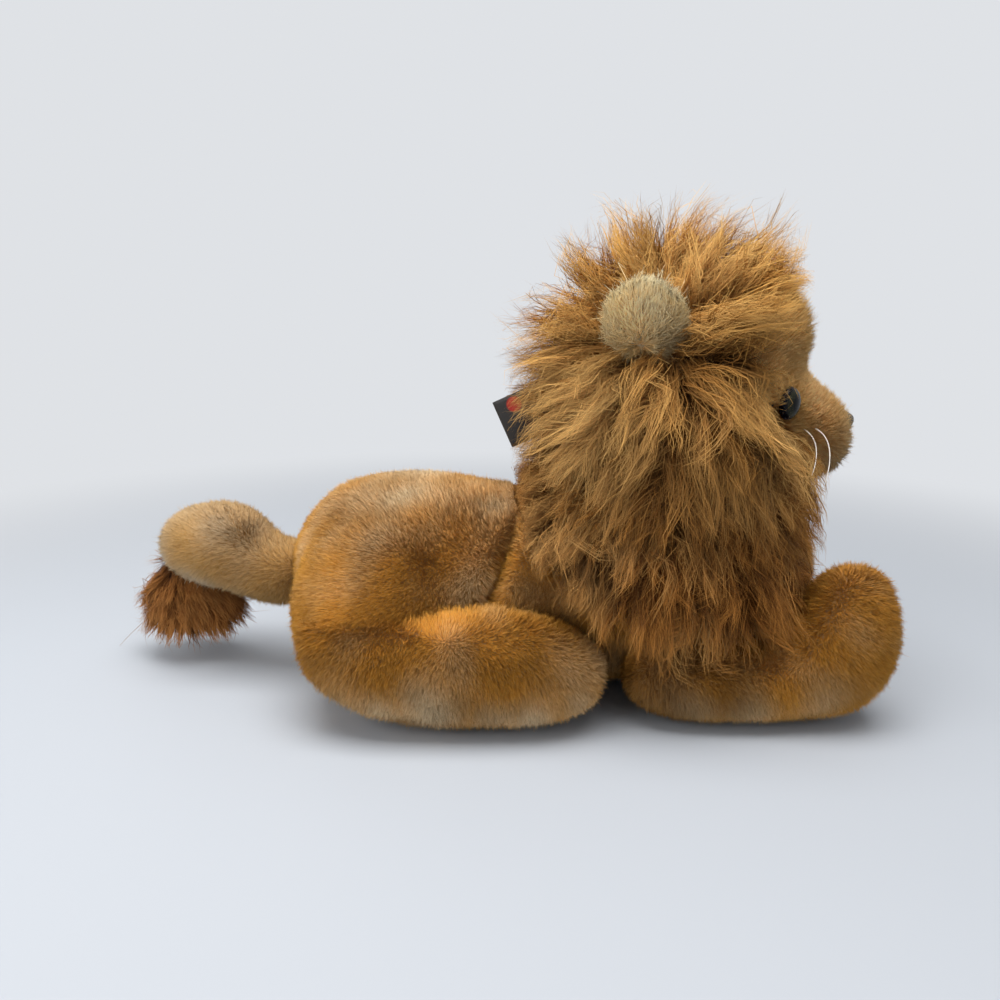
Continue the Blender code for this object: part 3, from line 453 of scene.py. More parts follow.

# The mane's darker colours low down, between which heights they change, and how far its tones spread
mane_low_colours = ((34, 16, 5), (98, 57, 18), (182, 122, 56))
MANE_LOW_BAND = (0.07, 0.165)
MANE_SPREAD = 0.62
PILE_SPREAD = 0.38

# Patches on one side of the animal, mirrored on the other: place, radius, paleness and darkness. Some
# paleness is painted highlight and some darkness is painted shade, as marked in each table
body_patches = (
    # The next two rows: painted highlight on the top of the back.
    (-0.04, 0.015, 0.092, 0.03, 0.6, 0),
    (0, 0.015, 0.092, 0.026, 0.45, 0),
    (-0.004, 0.05, 0.062, 0.014, 0.4, 0.1),
    # The next row: painted highlight along the bottom edge of the rump.
    (-0.08, 0.04, 0.012, 0.02, 0.45, 0),
    (0.012, 0.044, 0.056, 0.012, 0.35, 0.1),
    (-0.045, 0.055, 0.056, 0.022, 0, 0.16),
    # The last two rows: painted shade low behind the front leg and under the chest.
    (0.03, 0.045, 0.03, 0.03, 0.1, 0.55),
    (0.07, 0.03, 0.02, 0.04, 0.05, 0.55),
)
head_patches = (
    # The first two rows: painted shade in front of the ear, and on the cheek under the mane.
    (0.092, 0.04, 0.148, 0.01, 0, 0.35),
    (0.112, 0.034, 0.114, 0.011, 0.2, 0.3),
    (0.11, 0.025, 0.142, 0.018, 0.25, 0),
    (0.1225, 0.0235, 0.1155, 0.0038, 0, 0.6),
    (0.132, 0.012, 0.124, 0.016, 0.35, 0),
    (0.13, 0.016, 0.1, 0.016, 0.45, 0),
    (0.138, 0.012, 0.112, 0.014, 0.4, 0),
)
# The mouth, which the photo doesn't show: a short line below the nose and a curve to each side
mouth_rows = (
    (0.145, 0, 0.107),
    (0.1452, 0, 0.1045),
    (0.145, 0, 0.102),
    (0.1446, 0.0022, 0.1),
    (0.1436, 0.0044, 0.0988),
    (0.142, 0.0066, 0.0984),
    (0.14, 0.0088, 0.099),
    (0.138, 0.0106, 0.1002),
)
MOUTH_WIDTH = 0.0019
MOUTH_DARK_SHARE = 0.95
hind_leg_patches = (
    (-0.05, 0.064, 0.03, 0.022, 0, 0.15),
    # The next row: painted highlight along the bottom edge.
    (-0.03, 0.064, 0.012, 0.016, 0.6, 0),
    (0, 0.066, 0.026, 0.018, 0, 0.22),
    # The next six rows: painted highlight along the bottom edge of the foot.
    (-0.062, 0.062, 0.008, 0.015, 0.9, 0),
    (-0.044, 0.065, 0.008, 0.014, 1, 0),
    (-0.024, 0.066, 0.01, 0.015, 1, 0),
    (-0.004, 0.066, 0.007, 0.013, 0.95, 0),
    (0.016, 0.065, 0.007, 0.013, 0.9, 0),
    (0.032, 0.06, 0.01, 0.012, 0.8, 0),
    (0.036, 0.05, 0.03, 0.014, 0.4, 0),
)
front_leg_patches = (
    # The first three rows: painted shade on the forearm.
    (0.06, 0.055, 0.02, 0.026, 0.1, 0.6),
    (0.085, 0.058, 0.02, 0.02, 0, 0.5),
    (0.12, 0.056, 0.034, 0.018, 0.1, 0.3),
    (0.15, 0.04, 0.04, 0.012, 0.35, 0),
    # The last four rows: painted highlight along the bottom edge.
    (0.12, 0.06, 0.007, 0.013, 0.6, 0),
    (0.095, 0.06, 0.006, 0.012, 0.7, 0.1),
    (0.072, 0.06, 0.006, 0.012, 0.8, 0.1),
    (0.052, 0.056, 0.006, 0.01, 0.7, 0.1),
)
mane_patches = (
    (0.06, 0.046, 0.141, 0.007, 0.8, 0),
    (0.07, 0.046, 0.138, 0.007, 0.9, 0),
    (0.082, 0.045, 0.131, 0.007, 0.9, 0),
    (0.094, 0.041, 0.122, 0.008, 0.7, 0),
    # The next six rows: painted shade in front of and below the ear and on the lower mane.
    (0.082, 0.043, 0.149, 0.011, 0, 0.75),
    (0.092, 0.04, 0.14, 0.009, 0, 0.6),
    (0.066, 0.047, 0.125, 0.009, 0, 0.6),
    (0.04, 0.045, 0.11, 0.01, 0, 0.3),
    (0.078, 0.044, 0.098, 0.009, 0, 0.55),
    (0.074, 0.044, 0.084, 0.009, 0, 0.6),
    (0.06, 0.03, 0.172, 0.022, 0.4, 0),
    (0.026, 0.04, 0.128, 0.03, 0.95, 0),
    (0.026, 0.045, 0.096, 0.026, 0.95, 0),
    # The last two rows: painted shade on the lower mane.
    (0.06, 0.045, 0.11, 0.014, 0, 0.35),
    (0.09, 0.045, 0.085, 0.016, 0, 0.4),
)
ear_patches = (
    # The first row: painted highlight on the upper rim. The other two rows: painted shade on the lower part
    # of the ear.
    (0.048, 0.038, 0.168, 0.014, 1, 0),
    (0.06, 0.043, 0.148, 0.01, 0, 0.55),
    (0.044, 0.05, 0.143, 0.008, 0, 0.25),
)
tail_patches = (
    (-0.12, 0.006, 0.074, 0.014, 0.45, 0),
    (-0.152, 0.012, 0.05, 0.014, 0.95, 0),
    (-0.136, 0, 0.04, 0.012, 0.9, 0),
    # The next row: painted shade on the underside near the root.
    (-0.1, 0, 0.034, 0.014, 0, 0.4),
    (-0.108, 0, 0.064, 0.01, 0.45, 0),
)


def unit(vectors):
    length = np.linalg.norm(vectors, axis=-1, keepdims=True)
    return vectors / np.maximum(length, TINY)


def linear(colour):
    """Turns a colour as seen on screen, in 255 parts, into light."""
    share = np.array(colour) / 255
    low = share / 12.92
    high = ((share + 0.055) / 1.055) ** 2.4
    return (*np.where(share <= 0.04045, low, high), 1)


def fade(values, start, width):
    """Zero before the start and one past the width, which may run backwards."""
    return np.clip((values - start) / width, 0, 1)


def between(shares, chance):
    """A first share and as much of a second one as chance gives."""
    return shares[0] + shares[1] * chance


def drift(points, wave, seed):
    """Smooth noise, mostly within one either way, that changes over about one wave."""
    rng = np.random.default_rng(seed)
    total = np.zeros(points.shape[:-1])
    for _ in range(DRIFT_WAVES):
        way = unit(rng.normal(size=3))
        pace = math.tau / wave * between(drift_pace_shares, rng.random())
        total += np.sin(points @ way * pace + math.tau * rng.random())
    return total / math.sqrt(DRIFT_WAVES)


def stray(points, amount, wave, seed):
    """A smooth change of way from place to place."""
    return amount * np.stack([drift(points, wave, seed + axis) for axis in range(3)], axis=-1)


def mirrored(points):
    return np.stack((points[:, 0], np.abs(points[:, 1]), points[:, 2]), axis=-1)


def distance(points, place):
    """How far each point, or its mirror image, is from a place on the left side."""
    return np.linalg.norm(mirrored(points) - np.array(place), axis=1)


def nearness(points, place, reach):
    return np.exp(-((distance(points, place) / reach) ** 2))


def ring(centre, across, upward, count=RING_POINTS):
    """Points round a centre, from the vectors to the ring's side and to its top."""
    turns = np.linspace(0, math.tau, count, endpoint=False)
    return np.array(centre) + np.outer(np.cos(turns), across) + np.outer(np.sin(turns), upward)


def read_sections(shares):
    """Reads a table of sections at many stations, closer at its ends, on curves without corners."""
    table = np.array(sorted(shares), dtype=float)
    first, last = table[0, 0], table[-1, 0]
    pace = (1 - np.cos(np.linspace(0, math.pi, STATIONS))) / 2
    along = first + (last - first) * pace
    columns = [along]
    for column in table.T[1:]:
        values = np.interp(along, table[:, 0], column)
        values[1:-1] = np.convolve(values, station_smooth_shares, "valid")
        columns.append(values)
    return np.array(columns).T


def body_rings(start, size, shares, side=1):
    """Round sections that stand across the animal's length."""
    rings = []
    for along, width, top, bottom in read_sections(shares):
        middle = start[2] + (top + bottom) / 2 * size[2]
        centre = (start[0] + along * size[0], side * start[1], middle)
        rings.append(ring(centre, (0, width * size[1] / 2, 0), (0, 0, (top - bottom) / 2 * size[2])))
    return np.array(rings)


def tube_rings(centres, radii, count=RING_POINTS):
    """Round sections along a path that nowhere runs straight up."""
    tangents = unit(np.gradient(centres, axis=0))
    across = unit(np.cross(tangents, UP))
    upward = np.cross(across, tangents)
    spokes = [ring((0, 0, 0), aside, up, count) for aside, up in zip(across, upward)]
    return np.array([centre + radius * spoke for centre, radius, spoke in zip(centres, radii, spokes)])


def tail_rings():
    sections = read_sections(tuple((index, *row) for index, row in enumerate(tail_path_shares)))
    back, aside, rise, half = sections[:, 1:].T
    offset = np.stack((-back * TAIL_LENGTH, aside * TAIL_SWEEP, rise * TAIL_RISE), axis=-1)
    return tube_rings(np.array(TAIL_HINGE) + offset, half * TAIL_THICKNESS / 2)


def tuft_rings():
    rings = []
    for drop, back, half_length, half_width in read_sections(tuft_shares):
        centre = (TUFT_TOP[0] - back * TUFT_SIZE[0], TUFT_TOP[1], TUFT_TOP[2] - drop * TUFT_SIZE[2])
        along = (half_length * TUFT_SIZE[0] / 2, 0, 0)
        rings.append(ring(centre, along, (0, half_width * TUFT_SIZE[1] / 2, 0)))
    return np.array(rings)


def ball_rings(centre, radii, side=1):
    rings = []
    for tilt in np.linspace(BALL_POLE, math.pi - BALL_POLE, STATIONS):
        middle = (centre[0] + radii[0] * np.cos(tilt), side * centre[1], centre[2])
        rings.append(ring(middle, (0, radii[1] * np.sin(tilt), 0), (0, 0, radii[2] * np.sin(tilt))))
    return np.array(rings)


def shell_faces(rows, count, offset):
    """Faces of a closed tube of rings, with one point more at each end."""
    faces = []
    turn = [(step, (step + 1) % count) for step in range(count)]
    end = offset + rows * count
    last = end - count
    for near in range(offset, last, count):
        far = near + count
        faces += [(near + step, near + after, far + after, far + step) for step, after in turn]
    for step, after in turn:
        faces.append((offset + after, offset + step, end))
        faces.append((last + step, last + after, end + 1))
    return faces


def closed_mesh(name, forms, ends=None):
    """One mesh of closed tubes, whose end points are the middles of their last rings or given."""
    points = []
    faces = []
    for rings in forms:
        offset = sum(len(part) for part in points)
        tips = ends or (rings[0].mean(axis=0), rings[-1].mean(axis=0))
        faces += shell_faces(*rings.shape[:2], offset)
        points.append(np.concatenate((rings.reshape(-1, 3), np.array(tips))))
    mesh = bpy.data.meshes.new(name)
    mesh.from_pydata(np.concatenate(points).tolist(), [], faces)
    mesh.update()
    return mesh


def place_object(name, data):
    item = bpy.data.objects.new(name, data)
    bpy.context.scene.collection.objects.link(item)
    return item


def smooth_object(name, rings, ends=None):
    mesh = closed_mesh(name, [np.array(rings)], ends)
    mesh.shade_smooth()
    return place_object(name, mesh)


def bake_modifiers(item):
    """Keeps what the item's modifiers make and drops the modifiers."""
    graph = bpy.context.evaluated_depsgraph_get()
    mesh = bpy.data.meshes.new_from_object(item.evaluated_get(graph))
    item.modifiers.clear()
    item.data = mesh


def read_vectors(collection, name):
    found = np.empty(len(collection) * 3)
    collection.foreach_get(name, found)
    return found.reshape(-1, 3)


def places(mesh):
    return read_vectors(mesh.vertices, "co")


def normals_of(mesh):
    return read_vectors(mesh.vertex_normals, "vector")


def set_places(mesh, points):
    mesh.vertices.foreach_set("co", points.ravel())
    mesh.update()


def inflate(item):
    """Lets pressed cloth swell the form a little, so that it reads as stuffed."""
    before = places(item.data)
    cloth = item.modifiers.new("stuffing", "CLOTH")
    cloth.settings.use_pressure = True
    cloth.settings.uniform_pressure_force = STUFFING_PRESSURE
    cloth.settings.effector_weights.gravity = 0
    for number in range(1, STUFFING_FRAMES + 1):
        bpy.context.scene.frame_set(number)
    graph = bpy.context.evaluated_depsgraph_get()
    after = places(item.evaluated_get(graph).data)
    item.modifiers.clear()
    bpy.context.scene.frame_set(1)
    move = after - before
    reach = np.linalg.norm(move, axis=1, keepdims=True)
    kept = np.minimum(reach, SWELL_CAP) / np.maximum(reach, TINY)
    set_places(item.data, before + move * kept)


def stuffed_skin(name, forms, inset=SKIN_INSET):
    """Sews the forms into one skin, draws it in by the pile's depth and swells it."""
    item = place_object(name, closed_mesh(name, forms))
    remesh = item.modifiers.new("sew", "REMESH")
    remesh.mode = "VOXEL"
    remesh.voxel_size = STUFFING_VOXEL
    item.modifiers.new("ease", "SMOOTH").iterations = SKIN_SMOOTHS
    bake_modifiers(item)
    mesh = item.data
    set_places(mesh, places(mesh) - normals_of(mesh) * (inset + SWELL_CAP))
    inflate(item)
    item.modifiers.new("round", "SUBSURF").levels = 1
    bake_modifiers(item)
    points = places(item.data)
    points[:, 2] = np.maximum(points[:, 2], FLOOR_CLEARANCE + inset / 4)
    set_places(item.data, points)
    item.data.shade_smooth()
    return item


def seam_distance(points):
    """How far each point lies in front of the waist seam."""
    slope = (SEAM_TOP[0] - SEAM_FOOT[0]) / (SEAM_TOP[1] - SEAM_FOOT[1])
    return points[:, 0] - SEAM_FOOT[0] - (points[:, 2] - SEAM_FOOT[1]) * slope


def seam_strength(points):
    """One on the flank's seam, fading out above it."""
    return fade(points[:, 2], SEAM_TOP[1], -SEAM_FADE)


def seam_patches():
    """Small dark patches close together along the waist seam."""
    share = np.linspace(0, 1, SEAM_MARKS)
    ends = np.linspace(0, 1, len(seam_half_widths))
    x, z = (foot + (top - foot) * share for foot, top in zip(SEAM_FOOT, SEAM_TOP))
    y = np.interp(share, ends, seam_half_widths)
    return tuple((*place, SEAM_DARK_WIDTH, 0, SEAM_DARK_SHARE) for place in zip(x, y, z))


def pull_seam(item):
    points = places(item.data)
    reach = seam_distance(points) / SEAM_WIDTH
    depth = SEAM_DEPTH * np.exp(-(reach**2)) * seam_strength(points)
    set_places(item.data, points - normals_of(item.data) * depth[:, None])


def scatter(skin, per_area, rng):
    """Roots spread evenly over the skin, with the skin's normal at each."""
    mesh = skin.data
    mesh.calc_loop_triangles()
    corners = np.empty(len(mesh.loop_triangles) * 3, dtype=np.int32)
    mesh.loop_triangles.foreach_get("vertices", corners)
    corners = corners.reshape(-1, 3)
    points = places(mesh)
    normals = normals_of(mesh)
    one, two, three = (points[corners[:, index]] for index in range(3))
    area = np.linalg.norm(np.cross(two - one, three - one), axis=1) / 2
    count = int(area.sum() * per_area)
    chosen = rng.choice(len(area), count, p=area / area.sum())
    shares = rng.dirichlet((1, 1, 1), count)
    roots = np.einsum("nk,nkd->nd", shares, points[corners[chosen]])
    facing = unit(np.einsum("nk,nkd->nd", shares, normals[corners[chosen]]))
    return roots, facing


def nearest_leaders(roots, leaders):
    tree = kdtree.KDTree(len(leaders))
    for index, place in enumerate(leaders.tolist()):
        tree.insert(place, index)
    tree.balance()
    return np.array([tree.find(place)[1] for place in roots.tolist()])


def push_out(points, depths, trees):
    """Keeps hair off the skins, each hair by its own depth at the tip."""
    steps = points.shape[1]
    for step in range(1, steps):
        share = (step / (steps - 1)) ** 0.7
        for index in range(len(points)):
            place = Vector(points[index, step])
            clear = depths[index] * share
            for tree in trees:
                near, normal, _, _ = tree.find_nearest(place)
                if (place - near).dot(normal) < clear:
                    place = near + normal * clear
            points[index, step] = place
    return points


def lead_curves(roots, normals, lengths, style, comb):
    """Curves that leave the skin, lean over along the comb's way and droop."""
    points = [roots]
    here = roots
    for step in range(style.steps):
        share = (step + 0.5) / style.steps
        stand = style.stand_share * (1 - share) ** style.settle
        flow = comb(here, normals)
        inward = np.minimum((flow * normals).sum(axis=1, keepdims=True), 0)
        flow = unit(flow - inward * normals)
        way = normals * stand + flow * (1 - stand) - UP * style.droop_share * share
        here = here + unit(way) * (lengths / style.steps)[:, None]
        points.append(here)
    return np.stack(points, axis=1)


def follow(roots, lengths, leads, gather, wobble, waves, rng):
    """Hairs that take their leader's shape, draw together along it and waver."""
    steps = leads.shape[1]
    share = np.linspace(0, 1, steps)[None, :, None]
    shape = (leads - leads[:, :1]) * lengths[:, None, None]
    apart = (roots - leads[:, 0])[:, None, :] * (1 - gather * share**0.8)
    waver = np.zeros_like(leads)
    for _ in range(2):
        way = unit(rng.normal(size=(len(roots), 1, 3)))
        pace = waves * (0.5 + rng.random((len(roots), 1, 1)))
        phase = rng.random((len(roots), 1, 1)) * math.tau
        waver += way * (np.sin(math.tau * pace * share + phase) - np.sin(phase))
    size = wobble * rng.gamma(2, 0.5, (len(roots), 1, 1))
    return leads[:, :1] + shape + apart + waver * size * share**0.7


def cut_short(hairs, ratio):
    return hairs[:, :1] + (hairs - hairs[:, :1]) * ratio[:, None, None]


def kept_in_reach(hairs, planes, lock, rng):
    """Shortens any hair that would pass one of the planes: a way, a limit and how ragged it is."""
    ratio = np.ones(len(hairs))
    for way, limit, ragged in planes:
        reach = hairs @ np.array(way)
        common = rng.random(int(lock.max()) + 1)[lock]
        own = (1 - LOCK_RAGGED_SHARE) * rng.random(len(hairs))
        limits = limit - ragged * (LOCK_RAGGED_SHARE * common + own)
        root = reach[:, 0]
        furthest = reach.max(axis=1)
        fit = np.clip((limits - root) / np.maximum(furthest - root, LEAST_REACH), LEAST_HAIR_SHARE, 1)
        ratio = np.where(furthest > limits, np.minimum(ratio, fit), ratio)
    return cut_short(hairs, ratio)


def clear_of_eyes(hairs):
    """Cuts hair short of the eyes and of the way out in front of them, so that the face stays open."""
    steps = hairs.shape[1]
    points = hairs.reshape(-1, 3)
    reach = np.min([distance(points, place) for place in eye_view_places], axis=0)
    near = reach.reshape(hairs.shape[:2]) < EYE_CLEAR
    first = np.where(near.any(axis=1), near.argmax(axis=1), steps)
    return cut_short(hairs, np.clip((first - 0.5) / (steps - 1), LEAST_EYE_HAIR_SHARE, 1))


def per_corner(steps):
    """How far along its hair each corner of a ribbon lies, in steps, with one corner at the tip."""
    return np.array([corner // 2 for corner in range(2 * steps - 2)] + [steps - 1])


def ribbon_arrays(points, widths, facing, soft_share, turn):
    """Corners and soft normals of tapered ribbons, each hair ending in one point."""
    tangents = unit(np.gradient(points, axis=1))
    side = turn * unit(np.cross(tangents, facing[:, None, :]))
    outward = np.cross(side, tangents)
    points = points + outward * FACE_GAP
    share = np.linspace(0, 1, points.shape[1])[None, :, None]
    half = side * widths[:, None, None] / 2 * (1 - TAPER_SHARE * share**1.5)
    steps = per_corner(points.shape[1])
    corners = points[:, steps]
    corners[:, 0:-1:2] = (points - half)[:, :-1]
    corners[:, 1:-1:2] = (points + half)[:, :-1]
    soft = unit(outward * (1 - soft_share) + facing[:, None, :] * soft_share)
    return corners, soft[:, steps]


def ribbon_loops(count, steps):
    """Corner numbers, face starts and one ribbon's pattern of corners."""
    width = 2 * steps - 1
    quads = [(2 * k, 2 * k + 1, 2 * k + 3, 2 * k + 2) for k in range(steps - 2)]
    pattern = [corner for quad in quads for corner in quad]
    pattern += [width - 3, width - 2, width - 1]
    loops = (np.arange(count)[:, None] * width + np.array(pattern)[None, :]).ravel()
    sizes = np.tile([4] * (steps - 2) + [3], count)
    return loops, np.concatenate(([0], np.cumsum(sizes)[:-1])), pattern


def ribbon_map(count, steps, pattern):
    """A small upright cell of the bake's map for every hair."""
    columns = math.ceil(math.sqrt(3 * count))
    rows = math.ceil(count / columns)
    number = np.arange(count)
    left = (number % columns) / columns
    low = (number // columns) / rows
    across = np.array([0.12, 0.88] * (steps - 1) + [0.5])
    along = per_corner(steps) / (steps - 1)
    u = left[:, None] + across[None, :] / columns
    v = low[:, None] + (0.08 + 0.84 * along[None, :]) / rows
    cells = np.stack((u, v), axis=-1)
    return cells[:, pattern].reshape(-1, 2)


def ribbon_object(name, points, widths, facing, marks, style):
    """One piece of many hairs. The marks are each hair's tone, paleness and darkness, which also carry
    painted highlights and painted shade.
    """
    sheets = [ribbon_arrays(points, widths, facing, style.soft_share, turn) for turn in style.turns]
    corners, normals = (np.concatenate(parts) for parts in zip(*sheets))
    count, steps = len(corners), points.shape[1]
    corners[..., 2] = np.maximum(corners[..., 2], FLOOR_CLEARANCE)
    loops, starts, pattern = ribbon_loops(count, steps)
    mesh = bpy.data.meshes.new(name)
    mesh.vertices.add(count * (2 * steps - 1))
    mesh.vertices.foreach_set("co", corners.ravel())
    mesh.loops.add(len(loops))
    mesh.loops.foreach_set("vertex_index", loops)
    mesh.polygons.add(len(starts))
    mesh.polygons.foreach_set("loop_start", starts)
    mesh.update(calc_edges=True)
    mesh.shade_smooth()
    free = mesh.attributes.new("custom_normal", "FLOAT_VECTOR", "POINT")
    free.data.foreach_set("vector", normals.ravel())
    values = np.empty((count, 2 * steps - 1, 4))
    values[..., 0] = per_corner(steps)[None, :] / (steps - 1)
    values[..., 1:] = np.tile(marks, (len(style.turns), 1))[:, None, :]
    strand = mesh.attributes.new("strand", "FLOAT_COLOR", "POINT")
    strand.data.foreach_set("color", values.ravel())
    cells = mesh.uv_layers.new(name=UV_NAME)
    cells.data.foreach_set("uv", ribbon_map(count, steps, pattern).ravel())
    return place_object(name, mesh)


def hair_marks(roots, patches, lock, style, rng, seed):
    """Tone, paleness and darkness of every hair, with its lock's tone in common. Where the patches give
    them, paleness is partly painted highlight and darkness partly painted shade.
    """
    tones = rng.normal(size=int(lock.max()) + 1)[lock]
    tone = 0.5 + style.lock_tone * tones + style.own_tone * rng.normal(size=len(roots))
    slow = TONE_DRIFT[0] * drift(roots, TONE_DRIFT[1], seed)
    tone += slow + style.lock_tone * drift(roots, LOCK_TONE_WAVE, seed + 7)
    pale = np.zeros(len(roots))
    dark = np.zeros(len(roots))
    for *place, radius, pale_share, dark_share in patches:
        weight = nearness(roots, place, radius)
        pale = np.maximum(pale, weight * pale_share)
        dark = np.maximum(dark, weight * dark_share)
    pale += PALE_DRIFT[0] * drift(roots, PALE_DRIFT[1], seed + 3)
    pale += PALE_GRAIN_SHARE * rng.normal(size=len(roots))
    dark += DARK_DRIFT[0] * drift(roots, DARK_DRIFT[1], seed + 5)
    return np.clip(np.stack((tone, pale, dark), axis=-1), 0, 1)


def lead_hairs(roots, normals, style, comb, size, trees, rng):
    """Hairs that the others follow. With trees, they gather in locks and keep off those skins."""
    lengths = style.length * between(lead_length_shares, rng.random(len(roots)))
    if size is not None:
        lengths = lengths * size(roots)
    leads = lead_curves(roots, normals, lengths, style, comb)
    if not trees:
        return leads
    locks = rng.choice(len(roots), max(len(roots) // LEADERS_PER_LOCK, 1), replace=False)
    lock_of = nearest_leaders(roots, roots[locks])
    ratio = lengths / lengths[locks][lock_of]
    bent = leads[locks][lock_of]
    leads = follow(roots, ratio, bent, LOCK_GATHER_SHARE, style.lock_wobble, style.lock_waves, rng)
    depths = style.clear * between(clear_depth_shares, rng.random(len(roots)))
    return push_out(leads, depths, trees)


def grow(name, skin, style, comb, patches, seed, keep=None, size=None, trees=()):
    """Grows one coat on a skin and returns its pieces. Trees of skins are given for the mane."""
    rng = np.random.default_rng(seed)
    roots, normals = scatter(skin, style.per_area, rng)
    if keep is not None:
        kept = keep(roots)
        roots, normals = roots[kept], normals[kept]
    count = len(roots)
    leaders = rng.choice(count, max(count // style.per_lock, 1), replace=False)
    leads = lead_hairs(roots[leaders], normals[leaders], style, comb, size, trees, rng)
    lead_of = nearest_leaders(roots, roots[leaders])
    cut = 1 - style.short_share * rng.random(count) ** 1.2
    hairs = follow(roots, cut, leads[lead_of], style.gather_share, style.wobble, style.waves, rng)
    if trees:
        hairs = clear_of_eyes(kept_in_reach(hairs, room_planes + mane_planes, lead_of, rng))
    else:
        hairs = kept_in_reach(hairs, room_planes, lead_of, rng)
    facing = unit(normals + style.turn_share * rng.normal(size=(count, 3)) / math.sqrt(3))
    widths = style.width * between(hair_width_shares, rng.random(count))
    marks = hair_marks(roots, patches, lead_of, style, rng, seed)
    pieces = math.ceil(count * (2 * style.steps - 1) * len(style.turns) / MOST_TRIANGLES)
    made = []
    for number, part in enumerate(np.array_split(np.arange(count), pieces), 1):
        arrays = (array[part] for array in (hairs, widths, facing, marks))
        made.append(ribbon_object(name + "_" + str(number), *arrays, style))
    return made


def feed(tree, target, *values, **named):
    """Feeds a node's sockets, in order or by name, from other sockets or with plain values."""
    sockets = [(target.inputs[index], value) for index, value in enumerate(values)]
    sockets += [(target.inputs[name.replace("_", " ")], value) for name, value in named.items()]
    for socket, value in sockets:
        if isinstance(value, bpy.types.NodeSocket):
            tree.links.new(value, socket)
        else:
            socket.default_value = value
    return target


def new_node(tree, kind, *values, **named):
    """A shader node. Names in lower case are its settings, and the others are sockets."""
    made = tree.nodes.new("ShaderNode" + kind)
    for name in [name for name in named if name.islower()]:
        setattr(made, name, named.pop(name))
    return feed(tree, made, *values, **named)


def new_material(name, roughness, seen):
    material = bpy.data.materials.new(name)
    material.use_nodes = True
    material.diffuse_color = linear(seen)
    shader = material.node_tree.nodes["Principled BSDF"]
    shader.inputs["Roughness"].default_value = roughness
    return material, material.node_tree, shader


def object_place(tree):
    return tree.nodes.new("ShaderNodeTexCoord").outputs["Object"]


def ramp(tree, factor, stops):
    node = new_node(tree, "ValToRGB", factor)
    elements = node.color_ramp.elements
    while len(elements) < len(stops):
        elements.new(1)
    for element, (position, colour) in zip(elements, stops):
        element.position = position
        element.color = linear(colour)
    return node.outputs["Color"]


def mix(tree, factor, one, two, way="MIX"):
    node = new_node(tree, "Mix", factor, data_type="RGBA", blend_type=way)
    for index, value in ((6, one), (7, two)):
        if isinstance(value, bpy.types.NodeSocket):
            tree.links.new(value, node.inputs[index])
        else:
            node.inputs[index].default_value = value
    return node.outputs[2]


def spread_value(tree, value, low, high):
    return new_node(tree, "MapRange", value, To_Min=low, To_Max=high).outputs["Result"]


def noise(tree, scale, detail):
    node = new_node(tree, "TexNoise", Vector=object_place(tree), Scale=scale, Detail=detail)
    return node.outputs["Fac"]


def bump(tree, shader, height, strength, distance):
    node = new_node(tree, "Bump", Strength=strength, Distance=distance, Height=height)
    feed(tree, shader, Normal=node.outputs["Normal"])


def strand_ramp(tree, along, colours):
    return ramp(tree, along, tuple(zip((0, 0.55, 1), colours)))


def pile_material(name, paint, low_colours=None, spread=PILE_SPREAD):
    """Colour runs from root to tip, shifts with each hair's marks and clouds over slowly."""
    material, tree, shader = new_material(name, 0.72, paint.middle)
    strand = new_node(tree, "Attribute", attribute_name="strand")
    split = new_node(tree, "SeparateColor", strand.outputs["Color"])
    along, tone, pale = (split.outputs[index] for index in range(3))
    colour = strand_ramp(tree, along, paint[:3])
    if low_colours is not None:
        height = new_node(tree, "SeparateXYZ", object_place(tree)).outputs["Z"]
        band = new_node(tree, "MapRange", height, *MANE_LOW_BAND)
        colour = mix(tree, band.outputs["Result"], strand_ramp(tree, along, low_colours), colour)
    # Paleness draws the colour toward the pale ramp and darkness toward the dark colour; both carry painted
    # highlights and painted shade as well as pale and dark hairs.
    light = ramp(tree, along, ((0, paint.pale_deep), (0.7, paint.pale_tip)))
    colour = mix(tree, pale, colour, light)
    colour = mix(tree, strand.outputs["Alpha"], colour, linear(paint.dark))
    cloud = spread_value(tree, noise(tree, 60, 3), 0.86, 1.14)
    value = spread_value(tree, tone, 1 - spread, 1 + spread)
    product = new_node(tree, "Math", cloud, value, operation="MULTIPLY").outputs["Value"]
    shift = new_node(tree, "HueSaturation", Color=colour, Value=product)
    feed(
        tree,
        shader,
        Base_Color=shift.outputs["Color"],
        Specular_IOR_Level=0.15,
        Sheen_Weight=0.02,
        Sheen_Roughness=0.45,
        Sheen_Tint=linear(paint.tip),
    )
    return material


def speckled_material(name, roughness, seen, grain, dark, light):
    """A plain finish whose colour varies finely. The grain is its noise's scale and detail."""
    material, tree, shader = new_material(name, roughness, seen)
    feed(tree, shader, Base_Color=ramp(tree, noise(tree, *grain), ((0.3, dark), (0.7, light))))
    return material, tree, shader


def backing_material(name, deep, middle):
    """Knitted backing under the pile, seen only where the pile parts."""
    return speckled_material(name, 0.92, middle, (220, 5), deep, middle)[0]


def eye_material():
    """Dark glass eye: a black pupil, a narrow olive iris and a navy rim under a clear gloss."""
    material, tree, shader = new_material("eye_glass", 0.10, (14, 16, 24))
    flatten = (1 / EYE_RADIUS, 1 / EYE_RADIUS, 0)
    flat = new_node(tree, "VectorMath", object_place(tree), flatten, operation="MULTIPLY")
    length = new_node(tree, "VectorMath", flat.outputs["Vector"], operation="LENGTH")
    stops = (
        (0, (6, 6, 9)),
        (0.46, (8, 8, 10)),
        (0.54, (40, 42, 26)),
        (0.78, (58, 58, 40)),
        (0.9, (14, 17, 30)),
    )
    colour = ramp(tree, length.outputs["Value"], stops)
    flecks = ramp(tree, noise(tree, 1500, 2), ((0.35, (150, 150, 150)), (0.75, (255, 255, 255))))
    colour = mix(tree, 1, colour, flecks, "MULTIPLY")
    feed(tree, shader, Base_Color=colour, Specular_IOR_Level=0.1)
    return material


